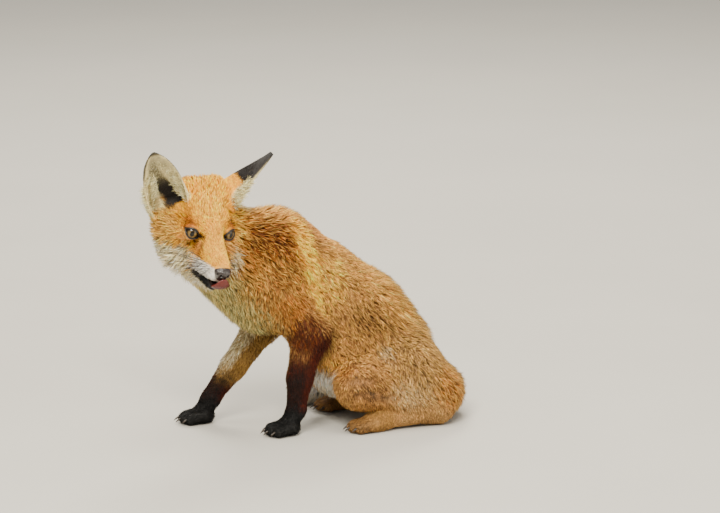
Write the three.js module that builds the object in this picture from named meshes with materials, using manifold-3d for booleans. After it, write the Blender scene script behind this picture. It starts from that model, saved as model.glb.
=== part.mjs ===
// A young red fox, sitting and looking back over its left side, as a life-size museum model.
// Millimetres. +X is towards the rump, -Y is the fox's left, +Z is up, and the floor is Z = 0.
//
// The animal is one smooth distance field of tapered bones and balls, out to the tips of its coat.
// The field is meshed and parted with thin cuts into the pieces that a person would name.
// Ears, eyes, nose, tongue and claws are shapes of their own.

import * as THREE from 'three';
import { mergeVertices } from 'three/addons/utils/BufferGeometryUtils.js';
import Module from 'manifold-3d';

const wasm = await Module();
wasm.setup();

const at = ( x, y, z ) => new THREE.Vector3( x, y, z );
const radians = THREE.MathUtils.degToRad;

// ---------------------------------------------------------------- driving dimensions

const GAP = 0.35;               // clearance between neighbouring pieces
const SEAM = GAP / 2;           // each side's share of a cut
const LEFT = - 1;               // sign of Y on the fox's left
const RIGHT = 1;
const SIDES = [ LEFT, RIGHT ];

// Middle of the body and its radius, from the withers to the pelvis.
const SPINE = [
  [ at( - 70, 0, 250 ), 70 ],
  [ at( - 12, 0, 207 ), 74 ],
  [ at( 58, 0, 148 ), 71 ],
  [ at( 116, 0, 80 ), 62 ],
  [ at( 150, 0, 44 ), 50 ]
];
const SLIMNESS = 0.82;          // width of the trunk over its depth

// The nape and the throat, each from the body to the head.
const NAPE = [
  [ at( - 66, 0, 256 ), 66 ],
  [ at( - 128, - 4, 281 ), 54 ],
  [ at( - 188, - 20, 317 ), 47 ]
];
const THROAT = [
  [ at( - 108, 0, 204 ), 50 ],
  [ at( - 188, - 42, 270 ), 45 ]
];

// The tail leaves the rump, turns round behind it and lies along the fox's right side.
const TAIL = [
  [ at( 176, 20, 32 ), 25 ],
  [ at( 190, 66, 31 ), 30 ],
  [ at( 172, 116, 35 ), 38 ],
  [ at( 124, 142, 38 ), 42 ],
  [ at( 70, 142, 35 ), 38 ],
  [ at( 30, 126, 24 ), 26 ],
  [ at( 6, 110, 11 ), 11 ]
];

// Shoulder, elbow, knee and wrist, and how far each forepaw turns out.
const FORELEGS = {
  [ LEFT ]: {
    shoulder: at( - 92, - 44, 214 ), elbow: at( - 38, - 52, 150 ), knee: at( - 52, - 52, 84 ),
    wrist: at( - 58, - 50, 36 ), turn: 3
  },
  [ RIGHT ]: {
    shoulder: at( - 100, 44, 210 ), elbow: at( - 72, 50, 146 ), knee: at( - 118, 56, 82 ),
    wrist: at( - 152, 62, 36 ), turn: - 5
  }
};
const FOREPAW = { reach: 40, width: 37 };

// The hind legs are folded alike on both sides.
const HINDLEG = { hip: [ 112, 38, 82 ], seat: [ 158, 42, 43 ], knee: [ 34, 62, 66 ], hock: [ 158, 66, 21 ] };
const HINDPAW = { ball: [ 66, 74, 16 ], reach: 44, width: 35, turn: 3 };

const HEAD = {
  middleOfEyes: at( - 195, - 78, 312 ),
  turn: 96,                     // degrees to the fox's left of straight ahead
  nod: 29,                      // degrees nose-down
  lean: 9                       // degrees, left cheek down
};
const EYE = {
  centre: [ - 7.5, 28.5, - 2 ],
  radius: 11,
  outward: 20,                  // degrees that the eye looks outwards and upwards
  upward: 15,
  width: 25,                    // opening of the lids
  height: 15,
  slant: 16                     // degrees, inner corner low
};

// Each ear in the head's frame: where it stands, where its tip is, which way it opens,
// how deep its cup is and how far it is rolled at the tip, in radians.
const EARS = {
  right: {
    root: at( - 57, - 50, 10 ), tip: at( - 65, - 103, 92 ), opens: at( 0.95, - 0.3, 0 ), depth: 20, curl: 0.9
  },
  left: {
    root: at( - 66, 46, 18 ), tip: at( - 89, 103, 84 ), opens: at( 0.64, 0.68, - 0.3 ), depth: 27, curl: 1.3
  }
};
const EAR = { halfWidth: 29.5, sink: 12, rows: 6, columns: 8 };

// Grid cell of each piece's mesh: fine on face and paws, coarse on the body.
const CELL = {
  trunk: 24, neck: 18, tail: 22, leg: 16, thigh: 20.5, paw: 11,
  skull: 13, face: 9.2, jaw: 9, nose: 5.5
};

// ---------------------------------------------------------------- distance fields
// A field takes x, y, z and returns the distance to its surface, negative inside.

function ball( centre, rx, ry = rx, rz = rx ) {

  return ( x, y, z ) => {

    const px = ( x - centre.x ) / rx;
    const py = ( y - centre.y ) / ry;
    const pz = ( z - centre.z ) / rz;
    const reach = Math.hypot( px, py, pz );
    const slope = Math.hypot( px / rx, py / ry, pz / rz ) || 1e-9;
    return reach * ( reach - 1 ) / slope;

  };

}

// A tapered capsule from a to b. A slimness below 1 flattens it across the Y axis.
function bone( a, b, ra, rb, slimness = 1 ) {

  const bx = b.x - a.x;
  const by = ( b.y - a.y ) / slimness;
  const bz = b.z - a.z;
  const length2 = bx * bx + by * by + bz * bz;

  return ( x, y, z ) => {

    const px = x - a.x;
    const py = ( y - a.y ) / slimness;
    const pz = z - a.z;
    const t = Math.min( 1, Math.max( 0, ( px * bx + py * by + pz * bz ) / length2 ) );
    return Math.hypot( px - t * bx, py - t * by, pz - t * bz ) - ( ra + t * ( rb - ra ) );

  };

}

// Smooth union of fields: neighbours melt together over about this many millimetres.
function blend( softness, ...fields ) {

  return ( x, y, z ) => {

    let d = fields[ 0 ]( x, y, z );

    for ( let i = 1; i < fields.length; i ++ ) {

      const e = fields[ i ]( x, y, z );
      const h = Math.max( 0, softness - Math.abs( d - e ) ) / softness;
      d = Math.min( d, e ) - h * h * softness / 4;

    }

    return d;

  };

}

// Takes the second field out of the first, with a soft edge.
function hollow( softness, field, tool ) {

  const rest = blend( softness, ( x, y, z ) => - field( x, y, z ), tool );
  return ( x, y, z ) => - rest( x, y, z );

}

// A smooth limb through joints given as [ point, radius ].
function limb( joints, slimness = 1, stepsPerJoint = 4 ) {

  const curve = new THREE.CatmullRomCurve3( joints.map( ( [ point ] ) => point ) );
  const steps = stepsPerJoint * ( joints.length - 1 );
  const stations = Array.from( { length: steps + 1 }, ( _, i ) => {

    const place = i / stepsPerJoint;
    const joint = Math.min( Math.floor( place ), joints.length - 2 );
    const radius = THREE.MathUtils.lerp( joints[ joint ][ 1 ], joints[ joint + 1 ][ 1 ], place - joint );
    return [ curve.getPoint( i / steps ), radius ];

  } );
  const links = stations.slice( 1 ).map( ( [ point, radius ], i ) =>
    bone( stations[ i ][ 0 ], point, stations[ i ][ 1 ], radius, slimness ) );
  return ( x, y, z ) => Math.min( ...links.map( ( link ) => link( x, y, z ) ) );

}

// Moves a field made in a local frame into place.
function placed( field, matrix ) {

  const e = matrix.clone().invert().elements;
  return ( x, y, z ) => field(
    e[ 0 ] * x + e[ 4 ] * y + e[ 8 ] * z + e[ 12 ],
    e[ 1 ] * x + e[ 5 ] * y + e[ 9 ] * z + e[ 13 ],
    e[ 2 ] * x + e[ 6 ] * y + e[ 10 ] * z + e[ 14 ] );

}

// The same shape on both sides of the middle plane.
const pair = ( make ) => [ - 1, 1 ].map( make );

// ---------------------------------------------------------------- anatomy: trunk, neck and legs

function bodyField() {

  const chest = ball( at( - 82, 0, 196 ), 56, 50, 58 );
  const belly = ball( at( 31, 0, 96 ), 57, 54, 62 );
  const rump = bone( at( 140, 0, 58 ), at( 188, 2, 34 ), 52, 31 );
  const armpit = pair( ( s ) => ball( at( - 12, s * 37, 122 ), 25, 14, 24 ) );
  const trunk = blend( 30, limb( SPINE, SLIMNESS ), chest, belly, rump, ...armpit );
  return blend( 26, trunk, limb( NAPE, 0.95 ), limb( THROAT ) );

}

function forelegField( side ) {

  const { shoulder, elbow, knee, wrist } = FORELEGS[ side ];
  const upper = bone( shoulder, elbow, 44, 30, 0.7 );
  const lower = blend( 8, bone( elbow, knee, 27, 20, 0.8 ), bone( knee, wrist, 20, 14, 0.8 ) );
  return blend( 14, upper, lower );

}

const onSide = ( side, [ x, y, z ] ) => at( x, side * y, z );

function hindlegField( side ) {

  const [ hip, seat, knee, hock ] = [ 'hip', 'seat', 'knee', 'hock' ]
    .map( ( joint ) => onSide( side, HINDLEG[ joint ] ) );
  const ball = onSide( side, HINDPAW.ball );
  const thigh = bone( hip, knee, 52, 33, 0.84 );
  const ham = bone( seat, hip, 44, 50, 0.9 );
  const shank = bone( knee, hock, 31, 19 );
  const foot = bone( hock, ball, 16, 13.5 );
  return blend( 8, blend( 20, thigh, ham, shank ), foot );

}

// The frame of a paw: its toes point along -X from the wrist or the ball of the foot.
const pawFrame = ( root, turn ) => new THREE.Matrix4().makeRotationZ( radians( turn ) ).setPosition( root.x, root.y, 0 );

// Four toes: how far each reaches and how far it lies from the middle of the paw.
const toes = ( { reach, width } ) => [ - 1.5, - 0.5, 0.5, 1.5 ].map( ( place ) => ( {
  reach: Math.abs( place ) < 1 ? reach : 0.84 * reach,
  y: 0.3 * width * place
} ) );

function pawField( root, size, turn ) {

  const { reach, width } = size;
  const toeFields = toes( size ).map( ( toe ) =>
    bone( at( - 0.3 * reach, 0.8 * toe.y, 13 ), at( - toe.reach, toe.y, 8.4 ), 8.6, 7.6 ) );
  const pad = ball( at( - 0.28 * reach, 0, 10 ), 0.46 * reach, 0.44 * width, 13 );
  const back = bone( at( 2, 0, Math.min( root.z, 34 ) ), at( - 0.42 * reach, 0, 14 ), 12.5, 12 );
  return placed( blend( 5, blend( 3.5, ...toeFields ), blend( 8, pad, back ) ), pawFrame( root, turn ) );

}

// ---------------------------------------------------------------- anatomy: head
// In its own frame: origin midway between the eyes, +X to the nose, +Y to its left, +Z to the crown.

const headMatrix = ( () => {

  const level = at( - Math.cos( radians( HEAD.turn ) ), - Math.sin( radians( HEAD.turn ) ), 0 );
  const left = at( 0, 0, 1 ).cross( level );
  const nose = level.clone().applyAxisAngle( left, radians( HEAD.nod ) );
  left.applyAxisAngle( nose, - radians( HEAD.lean ) );
  return new THREE.Matrix4().makeBasis( nose, left, nose.clone().cross( left ) ).setPosition( HEAD.middleOfEyes );

} )();

const inHead = ( x, y, z ) => at( x, y, z ).applyMatrix4( headMatrix );
const alongHead = ( x, y, z ) => at( x, y, z ).transformDirection( headMatrix );

const eyeCentre = ( side ) => onSide( side, EYE.centre );
const eyeAxis = ( side ) => at( 1, 0, 0 )
  .applyAxisAngle( at( 0, 1, 0 ), - radians( EYE.upward ) )
  .applyAxisAngle( at( 0, 0, 1 ), side * radians( EYE.outward ) );

// The upright axis of an ear, the way it opens square to that, and its width.
function earFrame( { root, tip, opens } ) {

  const up = tip.clone().sub( root ).normalize();
  const front = opens.clone().addScaledVector( up, - opens.dot( up ) ).normalize();
  return { up, front, wide: up.clone().cross( front ) };

}

// The hollow at the foot of an ear's cup.
function earBowl( ear ) {

  const { up } = earFrame( ear );
  return ball( ear.root.clone().addScaledVector( up, 18 ), 27 );

}

function headField() {

  const skull = ball( at( - 52, 0, 6 ), 40, 42, 35 );
  const nape = ball( at( - 74, 0, 8 ), 32, 46, 34 );
  const forehead = bone( at( - 44, 0, 6 ), at( - 14, 0, 4 ), 32, 20 );
  const brow = pair( ( s ) => ball( at( - 20, s * 20, 10 ), 15, 14, 13 ) );
  const cheekbone = pair( ( s ) => ball( at( - 25, s * 32, - 14 ), 19, 14, 15 ) );
  const bridge = bone( at( - 10, 0, 1 ), at( 50, 0, - 16 ), 18, 11.5 );
  const muzzle = bone( at( 10, 0, - 22 ), at( 54, 0, - 22 ), 20, 14 );
  const lips = pair( ( s ) => bone( at( 14, s * 12, - 36 ), at( 54, s * 6, - 32 ), 12, 8.5 ) );
  const cheek = pair( ( s ) => ball( at( - 48, s * 39, - 26 ), 32, 28, 32 ) );
  const ruff = pair( ( s ) => ball( at( - 36, s * 27, - 56 ), 34, 25, 28 ) );
  const earBase = Object.values( EARS ).map( ( { root, tip } ) =>
    bone( root.clone().lerp( tip, - 0.2 ).add( at( - 14, 0, - 4 ) ), root.clone().add( at( - 18, 0, - 4 ) ), 22, 18 ) );
  const scalp = pair( ( s ) => ball( at( - 67, s * 26, 16 + 8 * s ), 27 ) );
  const jowl = ball( at( - 40, 0, - 42 ), 42, 46, 32 );
  const lid = pair( ( s ) => ball( eyeCentre( s ), EYE.radius + 1.4 ) );

  const face = blend( 10, skull, nape, forehead, bridge, ...brow, ...cheekbone );
  const mask = blend( 10, face, blend( 8, muzzle, ...lips ) );
  const whole = blend( 4, blend( 14, mask, ...cheek, ...ruff, ...earBase, ...scalp, jowl ), ...lid );
  return hollow( 8, whole, blend( 1, ...Object.values( EARS ).map( earBowl ) ) );

}

function jawField() {

  return blend( 10,
    bone( at( - 24, 0, - 54 ), at( 18, 0, - 56 ), 22, 15 ),
    bone( at( 18, 0, - 56 ), at( 50, 0, - 53 ), 13, 8.5 ) );

}

// The leathery nose pad.
const nose = placed(
  blend( 5, ball( at( 61, 0, - 19 ), 11, 12, 8 ), ball( at( 60, 0, - 26 ), 9, 9, 8 ) ), headMatrix );

const bodyAndLegs = blend( 22,
  blend( 18, bodyField(), ...SIDES.map( forelegField ) ),
  ...SIDES.map( hindlegField ) );

const animal = blend( 10,
  bodyAndLegs,
  placed( blend( 12, headField(), jawField() ), headMatrix ),
  ...SIDES.map( ( side ) => pawField( FORELEGS[ side ].wrist, FOREPAW, FORELEGS[ side ].turn ) ),
  ...SIDES.map( ( side ) => pawField( onSide( side, HINDPAW.ball ), HINDPAW, side * HINDPAW.turn ) ) );

const tail = limb( TAIL );

// ---------------------------------------------------------------- field to mesh

// The eight corners of a grid cell, its twelve edges, and the four cells round each grid edge.
const CORNERS = Array.from( { length: 8 }, ( _, n ) => [ n & 1, ( n >> 1 ) & 1, n >> 2 ] );
const EDGES = CORNERS.flatMap( ( _, a ) =>
  [ 1, 2, 4 ].filter( ( bit ) => ! ( a & bit ) ).map( ( bit ) => [ a, a | bit ] ) );
const RINGS = [
  [ [ 1, 0, 0 ], [ [ 0, - 1, - 1 ], [ 0, 0, - 1 ], [ 0, 0, 0 ], [ 0, - 1, 0 ] ] ],
  [ [ 0, 1, 0 ], [ [ - 1, 0, - 1 ], [ - 1, 0, 0 ], [ 0, 0, 0 ], [ 0, 0, - 1 ] ] ],
  [ [ 0, 0, 1 ], [ [ - 1, - 1, 0 ], [ 0, - 1, 0 ], [ 0, 0, 0 ], [ - 1, 0, 0 ] ] ]
];

function eachCell( from, nx, ny, nz, visit ) {

  for ( let k = from; k < nz; k ++ ) {

    for ( let j = from; j < ny; j ++ ) {

      for ( let i = from; i < nx; i ++ ) visit( i, j, k );

    }

  }

}

// Moves a point onto the surface along the field's slope, by at most half a cell.
function settle( field, point, cell ) {

  const start = point.clone();
  const e = 0.05;

  for ( let step = 0; step < 4; step ++ ) {

    const { x, y, z } = point;
    const slope = at(
      field( x + e, y, z ) - field( x - e, y, z ),
      field( x, y + e, z ) - field( x, y - e, z ),
      field( x, y, z + e ) - field( x, y, z - e ) ).divideScalar( 2 * e );
    point.addScaledVector( slope, - field( x, y, z ) / Math.max( slope.lengthSq(), 0.25 ) );

  }

  if ( point.distanceTo( start ) > cell / 2 ) point.sub( start ).setLength( cell / 2 ).add( start );

}

// Surface nets: one vertex in each grid cell that the surface passes through.
// The field is cut off one cell inside the box, so that the mesh is closed.
function polygonise( field, box, cell ) {

  const middle = box.getCenter( at( 0, 0, 0 ) );
  const half = box.getSize( at( 0, 0, 0 ) ).multiplyScalar( 0.5 ).subScalar( cell );
  const boxed = ( x, y, z ) => Math.max( field( x, y, z ),
    Math.abs( x - middle.x ) - half.x, Math.abs( y - middle.y ) - half.y, Math.abs( z - middle.z ) - half.z );

  const [ nx, ny, nz ] = box.getSize( at( 0, 0, 0 ) ).toArray().map( ( side ) => Math.ceil( side / cell ) + 2 );
  const index = ( i, j, k ) => ( k * ny + j ) * nx + i;
  const place = ( i, j, k ) => at( i, j, k ).multiplyScalar( cell ).add( box.min );
  const value = new Float32Array( nx * ny * nz );
  eachCell( 0, nx, ny, nz, ( i, j, k ) => value[ index( i, j, k ) ] = boxed( ...place( i, j, k ).toArray() ) );

  const vertexOf = new Int32Array( nx * ny * nz ).fill( - 1 );
  const positions = [];

  eachCell( 0, nx - 1, ny - 1, nz - 1, ( i, j, k ) => {

    const v = CORNERS.map( ( [ a, b, c ] ) => value[ index( i + a, j + b, k + c ) ] );
    const crossed = EDGES.filter( ( [ a, b ] ) => ( v[ a ] < 0 ) !== ( v[ b ] < 0 ) );
    if ( crossed.length === 0 ) return;

    const sum = at( 0, 0, 0 );
    for ( const [ a, b ] of crossed ) sum.add( at( ...CORNERS[ a ] ).lerp( at( ...CORNERS[ b ] ), v[ a ] / ( v[ a ] - v[ b ] ) ) );
    const point = sum.multiplyScalar( cell / crossed.length ).add( place( i, j, k ) );
    settle( boxed, point, cell );
    vertexOf[ index( i, j, k ) ] = positions.length / 3;
    positions.push( ...point.toArray() );

  } );

  const triangles = [];

  eachCell( 1, nx - 1, ny - 1, nz - 1, ( i, j, k ) => {

    const here = value[ index( i, j, k ) ] < 0;

    for ( const [ next, ring ] of RINGS ) {

      if ( here === ( value[ index( i + next[ 0 ], j + next[ 1 ], k + next[ 2 ] ) ] < 0 ) ) continue;
      const [ a, b, c, d ] = ring.map( ( [ u, v, w ] ) => vertexOf[ index( i + u, j + v, k + w ) ] );
      triangles.push( ...( here ? [ a, b, c, a, c, d ] : [ a, c, b, a, d, c ] ) );

    }

  } );

  return new THREE.BufferGeometry()
    .setAttribute( 'position', new THREE.Float32BufferAttribute( positions, 3 ) )
    .setIndex( triangles );

}

// ---------------------------------------------------------------- solids and cutters

// A closed geometry as a solid that can be joined and cut, and back.
function solidOf( geometry ) {

  const bare = geometry.clone();
  bare.deleteAttribute( 'normal' );
  bare.deleteAttribute( 'uv' );
  const merged = mergeVertices( bare, 1e-4 );
  return new wasm.Manifold( new wasm.Mesh( {
    numProp: 3,
    vertProperties: new Float32Array( merged.attributes.position.array ),
    triVerts: new Uint32Array( merged.index.array )
  } ) );

}

function geometryOf( solid ) {

  const mesh = solid.getMesh();
  return new THREE.BufferGeometry()
    .setAttribute( 'position', new THREE.BufferAttribute( mesh.vertProperties, 3 ) )
    .setIndex( new THREE.BufferAttribute( mesh.triVerts, 1 ) );

}

// A field inside a box as a solid. grow moves its surface outwards.
function fieldSolid( field, [ min, max ], cell, grow = 0 ) {

  const grown = ( x, y, z ) => field( x, y, z ) - grow;
  return solidOf( polygonise( grown, new THREE.Box3( at( ...min ), at( ...max ) ), cell ) );

}

function block( min, max ) {

  const box = new THREE.Box3( at( ...min ), at( ...max ) );
  const size = box.getSize( at( 0, 0, 0 ) );
  const centre = box.getCenter( at( 0, 0, 0 ) );
  return solidOf( new THREE.BoxGeometry( ...size.toArray() ).translate( ...centre.toArray() ) );

}

// Everything beyond a plane, on the side that its normal points to, from a margin on.
const FAR = 900;

function beyond( point, normal, margin ) {

  const unit = normal.clone().normalize();
  const turn = new THREE.Quaternion().setFromUnitVectors( at( 0, 0, 1 ), unit );
  const start = point.clone().addScaledVector( unit, margin );
  const slab = new THREE.BoxGeometry( FAR, FAR, FAR )
    .translate( 0, 0, FAR / 2 )
    .applyQuaternion( turn )
    .translate( ...start.toArray() );
  return solidOf( slab );

}

// An oval plug into the side of the body. Its centre and half sizes are seen from the side.
function oval( side, x, z, rx, rz, inner, grow ) {

  const depth = 120;
  const plug = new THREE.CylinderGeometry( 1, 1, depth, 24 )
    .scale( rx + grow, 1, rz + grow )
    .translate( x, side * ( inner - grow + depth / 2 ), z );
  return solidOf( plug );

}

// A prism across the head. Its outline is [ x, z ] in the head's frame.
function headPrism( outline, halfWidth ) {

  const shape = new THREE.Shape( outline.map( ( [ x, z ] ) => new THREE.Vector2( x, z ) ) );
  const prism = new THREE.ExtrudeGeometry( shape, { depth: 2 * halfWidth, bevelEnabled: false } )
    .rotateX( Math.PI / 2 )
    .translate( 0, halfWidth, 0 )
    .applyMatrix4( headMatrix );
  return solidOf( prism );

}

const floor = block( [ - FAR, - FAR, 0 ], [ FAR, FAR, FAR ] );

// ---------------------------------------------------------------- where the coat is parted

const across = ( side, inner, outer ) => [ side * inner, side * outer ].sort( ( a, b ) => a - b );

// Each leg: an oval over its shoulder or thigh, and a block round the free part below.
function forelegSide( side, grow ) {

  const x = side === LEFT ? - 58 : - 84;
  const [ y0, y1 ] = across( side, 27 - grow, 110 );
  const free = block( [ x - 134 - grow, y0, - 5 ], [ x + 35 + grow, y1, 132 + grow ] );
  return oval( side, x, 164, 50, 66, 34, grow ).add( free );

}

function hindlegSide( side, grow ) {

  const inner = 34;
  const [ y0, y1 ] = across( side, inner - grow, 130 );
  const free = block( [ - 24 - grow, y0, - 5 ], [ 182 + grow, y1, 60 + grow ] );
  return oval( side, 80, 78, 100, 64, inner, grow ).add( free );

}

const neckSide = ( margin ) => beyond( at( - 98, 0, 250 ), at( - 0.75, - 0.1, 0.65 ), margin );

// The head ends at planes behind the ears, under the jaw and beside the left cheek,
// and the neck keeps the corners between that cheek, the jaw and the muzzle.
function headSide( margin ) {

  const corner = ( x, y, top ) => solidOf( new THREE.BoxGeometry( FAR, FAR, FAR )
    .translate( FAR / 2 + x - margin, FAR / 2 + y - margin, top + margin - FAR / 2 )
    .applyMatrix4( headMatrix ) );
  return beyond( at( - 128, - 2, 280 ), at( - 0.58, - 0.815, 0.015 ), margin )
    .intersect( beyond( inHead( 20, 0, - 72 ), alongHead( - 0.06, 0, 1 ), margin ) )
    .intersect( beyond( inHead( - 30, 76, - 30 ), alongHead( - 0.2, - 0.98, 0 ), margin ) )
    .subtract( corner( - 4, 47, FAR / 2 ) )
    .subtract( corner( 4, 27, - 47 ) );

}

const faceSide = ( margin ) => beyond( inHead( - 26, 0, 0 ), alongHead( 1, 0, 0 ), margin );

// The mouth stands a little open, and the lower jaw is parted off behind its corner.
const mouth = headPrism( [ [ 12, - 48.5 ], [ 34, - 51 ], [ 56, - 49.5 ], [ 100, - 46 ],
  [ 100, - 32 ], [ 58, - 40.5 ], [ 40, - 45 ] ], 30 );
const jawSide = ( grow ) => headPrism( [ [ 12 - grow, - 49 + grow ], [ 4 - grow, - 100 ], [ 110, - 100 ],
  [ 110, - 40 + grow ], [ 34, - 48 + grow ] ], 21 + grow );

// ---------------------------------------------------------------- small shapes

// Root and tip of each claw of a paw.
function clawPlaces( root, size, turn ) {

  return toes( size ).map( ( toe ) => [ at( 4 - toe.reach - 7, toe.y, 9.5 ), at( - toe.reach - 13.5, 1.05 * toe.y, 4 ) ]
    .map( ( point ) => point.applyMatrix4( pawFrame( root, turn ) ) ) );

}

// A round peg from base to tip.
function peg( base, tip, baseRadius, tipRadius, sides ) {

  const along = tip.clone().sub( base );
  const turn = new THREE.Quaternion().setFromUnitVectors( at( 0, 1, 0 ), along.clone().normalize() );
  const geometry = new THREE.CylinderGeometry( tipRadius, baseRadius, along.length(), sides )
    .applyQuaternion( turn )
    .translate( ...base.clone().lerp( tip, 0.5 ).toArray() );
  return solidOf( geometry );

}

function clawSolid( [ base, tip ], grow ) {

  const out = tip.clone().sub( base ).setLength( grow );
  return peg( base.clone().sub( out ), tip.clone().add( out ), 2.2 + grow, 0.5 + grow, 5 );

}

const nostril = ( side ) => peg( inHead( 62, side * 7.5, - 19.5 ), inHead( 78, side * 4, - 20.5 ), 1.6, 3.4, 8 );

function eyeball( side, radius ) {

  return solidOf( new THREE.SphereGeometry( radius, 12, 8 )
    .translate( ...eyeCentre( side ).applyMatrix4( headMatrix ).toArray() ) );

}

// The opening between the lids, an almond drawn out along the eye's axis.
function lidOpening( side ) {

  const { width, height } = EYE;
  const almond = new THREE.Shape()
    .moveTo( - width / 2, 0 )
    .quadraticCurveTo( 0, height, width / 2, 0 )
    .quadraticCurveTo( 0, - height, - width / 2, 0 );
  const out = eyeAxis( side );
  const wide = at( 0, 0, 1 ).cross( out ).normalize();
  const frame = new THREE.Matrix4().makeBasis( wide, out.clone().cross( wide ), out ).setPosition( eyeCentre( side ) );
  return solidOf( new THREE.ExtrudeGeometry( almond, { depth: 40, bevelEnabled: false, curveSegments: 6 } )
    .rotateZ( side * radians( EYE.slant ) )
    .applyMatrix4( frame )
    .applyMatrix4( headMatrix ) );

}

// The tongue comes over the lower lip and curls up to the nose.
function tongueSolid( grow ) {

  const path = new THREE.CatmullRomCurve3( [
    at( 24, - 3, - 46.5 ), at( 48, - 3, - 46.5 ), at( 66, - 3, - 45 ), at( 75, - 3, - 40 ), at( 78, - 3, - 32 ),
    at( 76.5, - 3, - 24 ) ] );
  const section = new THREE.Shape();
  section.absellipse( 0, 0, 12 + grow, 2.6 + grow, 0, 2 * Math.PI );
  const tongue = new THREE.ExtrudeGeometry( section, { extrudePath: path, steps: 8, curveSegments: 5 } );
  return solidOf( tongue.applyMatrix4( headMatrix ) );

}

// A closed cup, wide and rolled at its root and flat and pointed at its tip.
function earSolid( ear ) {

  const { root, tip, depth: cup, curl: tipCurl } = ear;
  const { up, front, wide } = earFrame( ear );
  const foot = root.clone().addScaledVector( up, - EAR.sink );
  const height = tip.distanceTo( foot );
  const rings = [];

  for ( let row = 0; row <= EAR.rows; row ++ ) {

    const t = row / EAR.rows;
    const halfWidth = EAR.halfWidth * Math.pow( 1 - Math.pow( 0.985 * t, 3 ), 0.75 );
    const curl = tipCurl + ( 2.2 - tipCurl ) * Math.pow( 1 - t, 1.6 );
    const radius = halfWidth / Math.sin( Math.min( curl, Math.PI / 2 ) );
    const depth = cup * ( 1 - 0.8 * t * t );
    const lean = 0.8 * depth * ( 1 - t ) + 4 * Math.sin( Math.PI * t );
    const middle = foot.clone().addScaledVector( up, height * t ).addScaledVector( front, - lean );
    const wall = 1 + 2.2 * ( 1 - t );

    const arc = ( outside ) => Array.from( { length: EAR.columns + 1 }, ( _, column ) => {

      const u = 2 * column / EAR.columns - 1;
      const angle = curl * u;
      const normal = new THREE.Vector2( Math.sin( angle ) / radius, - Math.cos( angle ) / depth ).normalize();
      const half = outside * wall * ( 1 - 0.45 * u * u );
      return middle.clone()
        .addScaledVector( wide, radius * Math.sin( angle ) + normal.x * half )
        .addScaledVector( front, depth * ( 1 - Math.cos( angle ) ) + normal.y * half );

    } );
    rings.push( [ ...arc( 1 ), ...arc( - 1 ).reverse() ] );

  }

  return solidOf( stack( rings ).applyMatrix4( headMatrix ) );

}

// Closes a stack of rings, each of which runs along the outside of a shell and back along the inside.
function stack( rings ) {

  const n = rings[ 0 ].length;
  const last = rings.length - 1;
  const triangles = [];
  const id = ( row, k ) => row * n + k % n;
  const quad = ( a, b, c, d ) => triangles.push( a, c, b, a, d, c );

  for ( let row = 0; row < last; row ++ ) {

    for ( let k = 0; k < n; k ++ ) quad( id( row, k ), id( row, k + 1 ), id( row + 1, k + 1 ), id( row + 1, k ) );

  }

  for ( let k = 0; k < n / 2 - 1; k ++ ) {

    quad( id( 0, k ), id( 0, n - 1 - k ), id( 0, n - 2 - k ), id( 0, k + 1 ) );
    quad( id( last, k ), id( last, k + 1 ), id( last, n - 2 - k ), id( last, n - 1 - k ) );

  }

  return new THREE.BufferGeometry()
    .setAttribute( 'position', new THREE.Float32BufferAttribute( rings.flat().flatMap( ( p ) => p.toArray() ), 3 ) )
    .setIndex( triangles );

}

// ---------------------------------------------------------------- pieces

const PAINT = {
  rust: { color: 0xb5713a, roughness: 0.95 },
  cream: { color: 0xd9c3a0, roughness: 0.95 },
  stocking: { color: 0x4a3024, roughness: 0.95 },
  leather: { color: 0x1b1716, roughness: 0.45 },
  tongue: { color: 0xb8605e, roughness: 0.35 },
  iris: { color: 0x8a6425, roughness: 0.08 },
  horn: { color: 0x2a2622, roughness: 0.4 }
};

const fox = new THREE.Group();

// Adds a named mesh whose own origin is the middle of its shape.
function piece( name, solid, paint ) {

  const geometry = geometryOf( solid );
  geometry.computeBoundingBox();
  const middle = geometry.boundingBox.getCenter( at( 0, 0, 0 ) ).round();
  const mesh = new THREE.Mesh( geometry.translate( - middle.x, - middle.y, - middle.z ),
    new THREE.MeshStandardMaterial( { ...PAINT[ paint ], metalness: 0 } ) );
  mesh.position.copy( middle );
  mesh.name = name;
  fox.add( mesh );

}

const sideName = ( side ) => side === LEFT ? 'left' : 'right';
const above = ( z, margin ) => beyond( at( 0, 0, z ), at( 0, 0, 1 ), margin );
const below = ( z, margin ) => beyond( at( 0, 0, z ), at( 0, 0, - 1 ), margin );
const WRIST = 33;
const INSTEP = 33;
const HEEL = 112;

function addPaw( name, side, paw, claws ) {

  const clawless = claws.reduce( ( solid, claw ) => solid.subtract( clawSolid( claw, GAP ) ), paw.intersect( floor ) );
  piece( name + '_' + sideName( side ), clawless, 'stocking' );
  claws.forEach( ( claw, i ) => piece( name + '_claw_' + sideName( side ) + '_' + ( i + 1 ), clawSolid( claw, 0 ), 'horn' ) );

}

function addForeleg( side ) {

  const { wrist, turn } = FORELEGS[ side ];
  const [ y0, y1 ] = across( side, 2, 120 );
  const legBox = [ [ wrist.x - 60, y0, 0 ], [ 30, y1, 262 ] ];
  const pawBox = [ [ wrist.x - 70, y0, - 14 ], [ wrist.x + 46, y1, 66 ] ];
  const region = forelegSide( side, - SEAM ).subtract( hindlegSide( side, SEAM ) );

  piece( 'foreleg_' + sideName( side ),
    fieldSolid( animal, legBox, CELL.leg ).intersect( region ).intersect( above( WRIST, SEAM ) ), 'rust' );
  addPaw( 'forepaw', side,
    fieldSolid( animal, pawBox, CELL.paw ).intersect( region ).intersect( below( WRIST, SEAM ) ),
    clawPlaces( wrist, FOREPAW, turn ) );

}

const TRUNK_BOX = [ [ - 240, - 114, - 24 ], [ 260, 114, 360 ] ];

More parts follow.
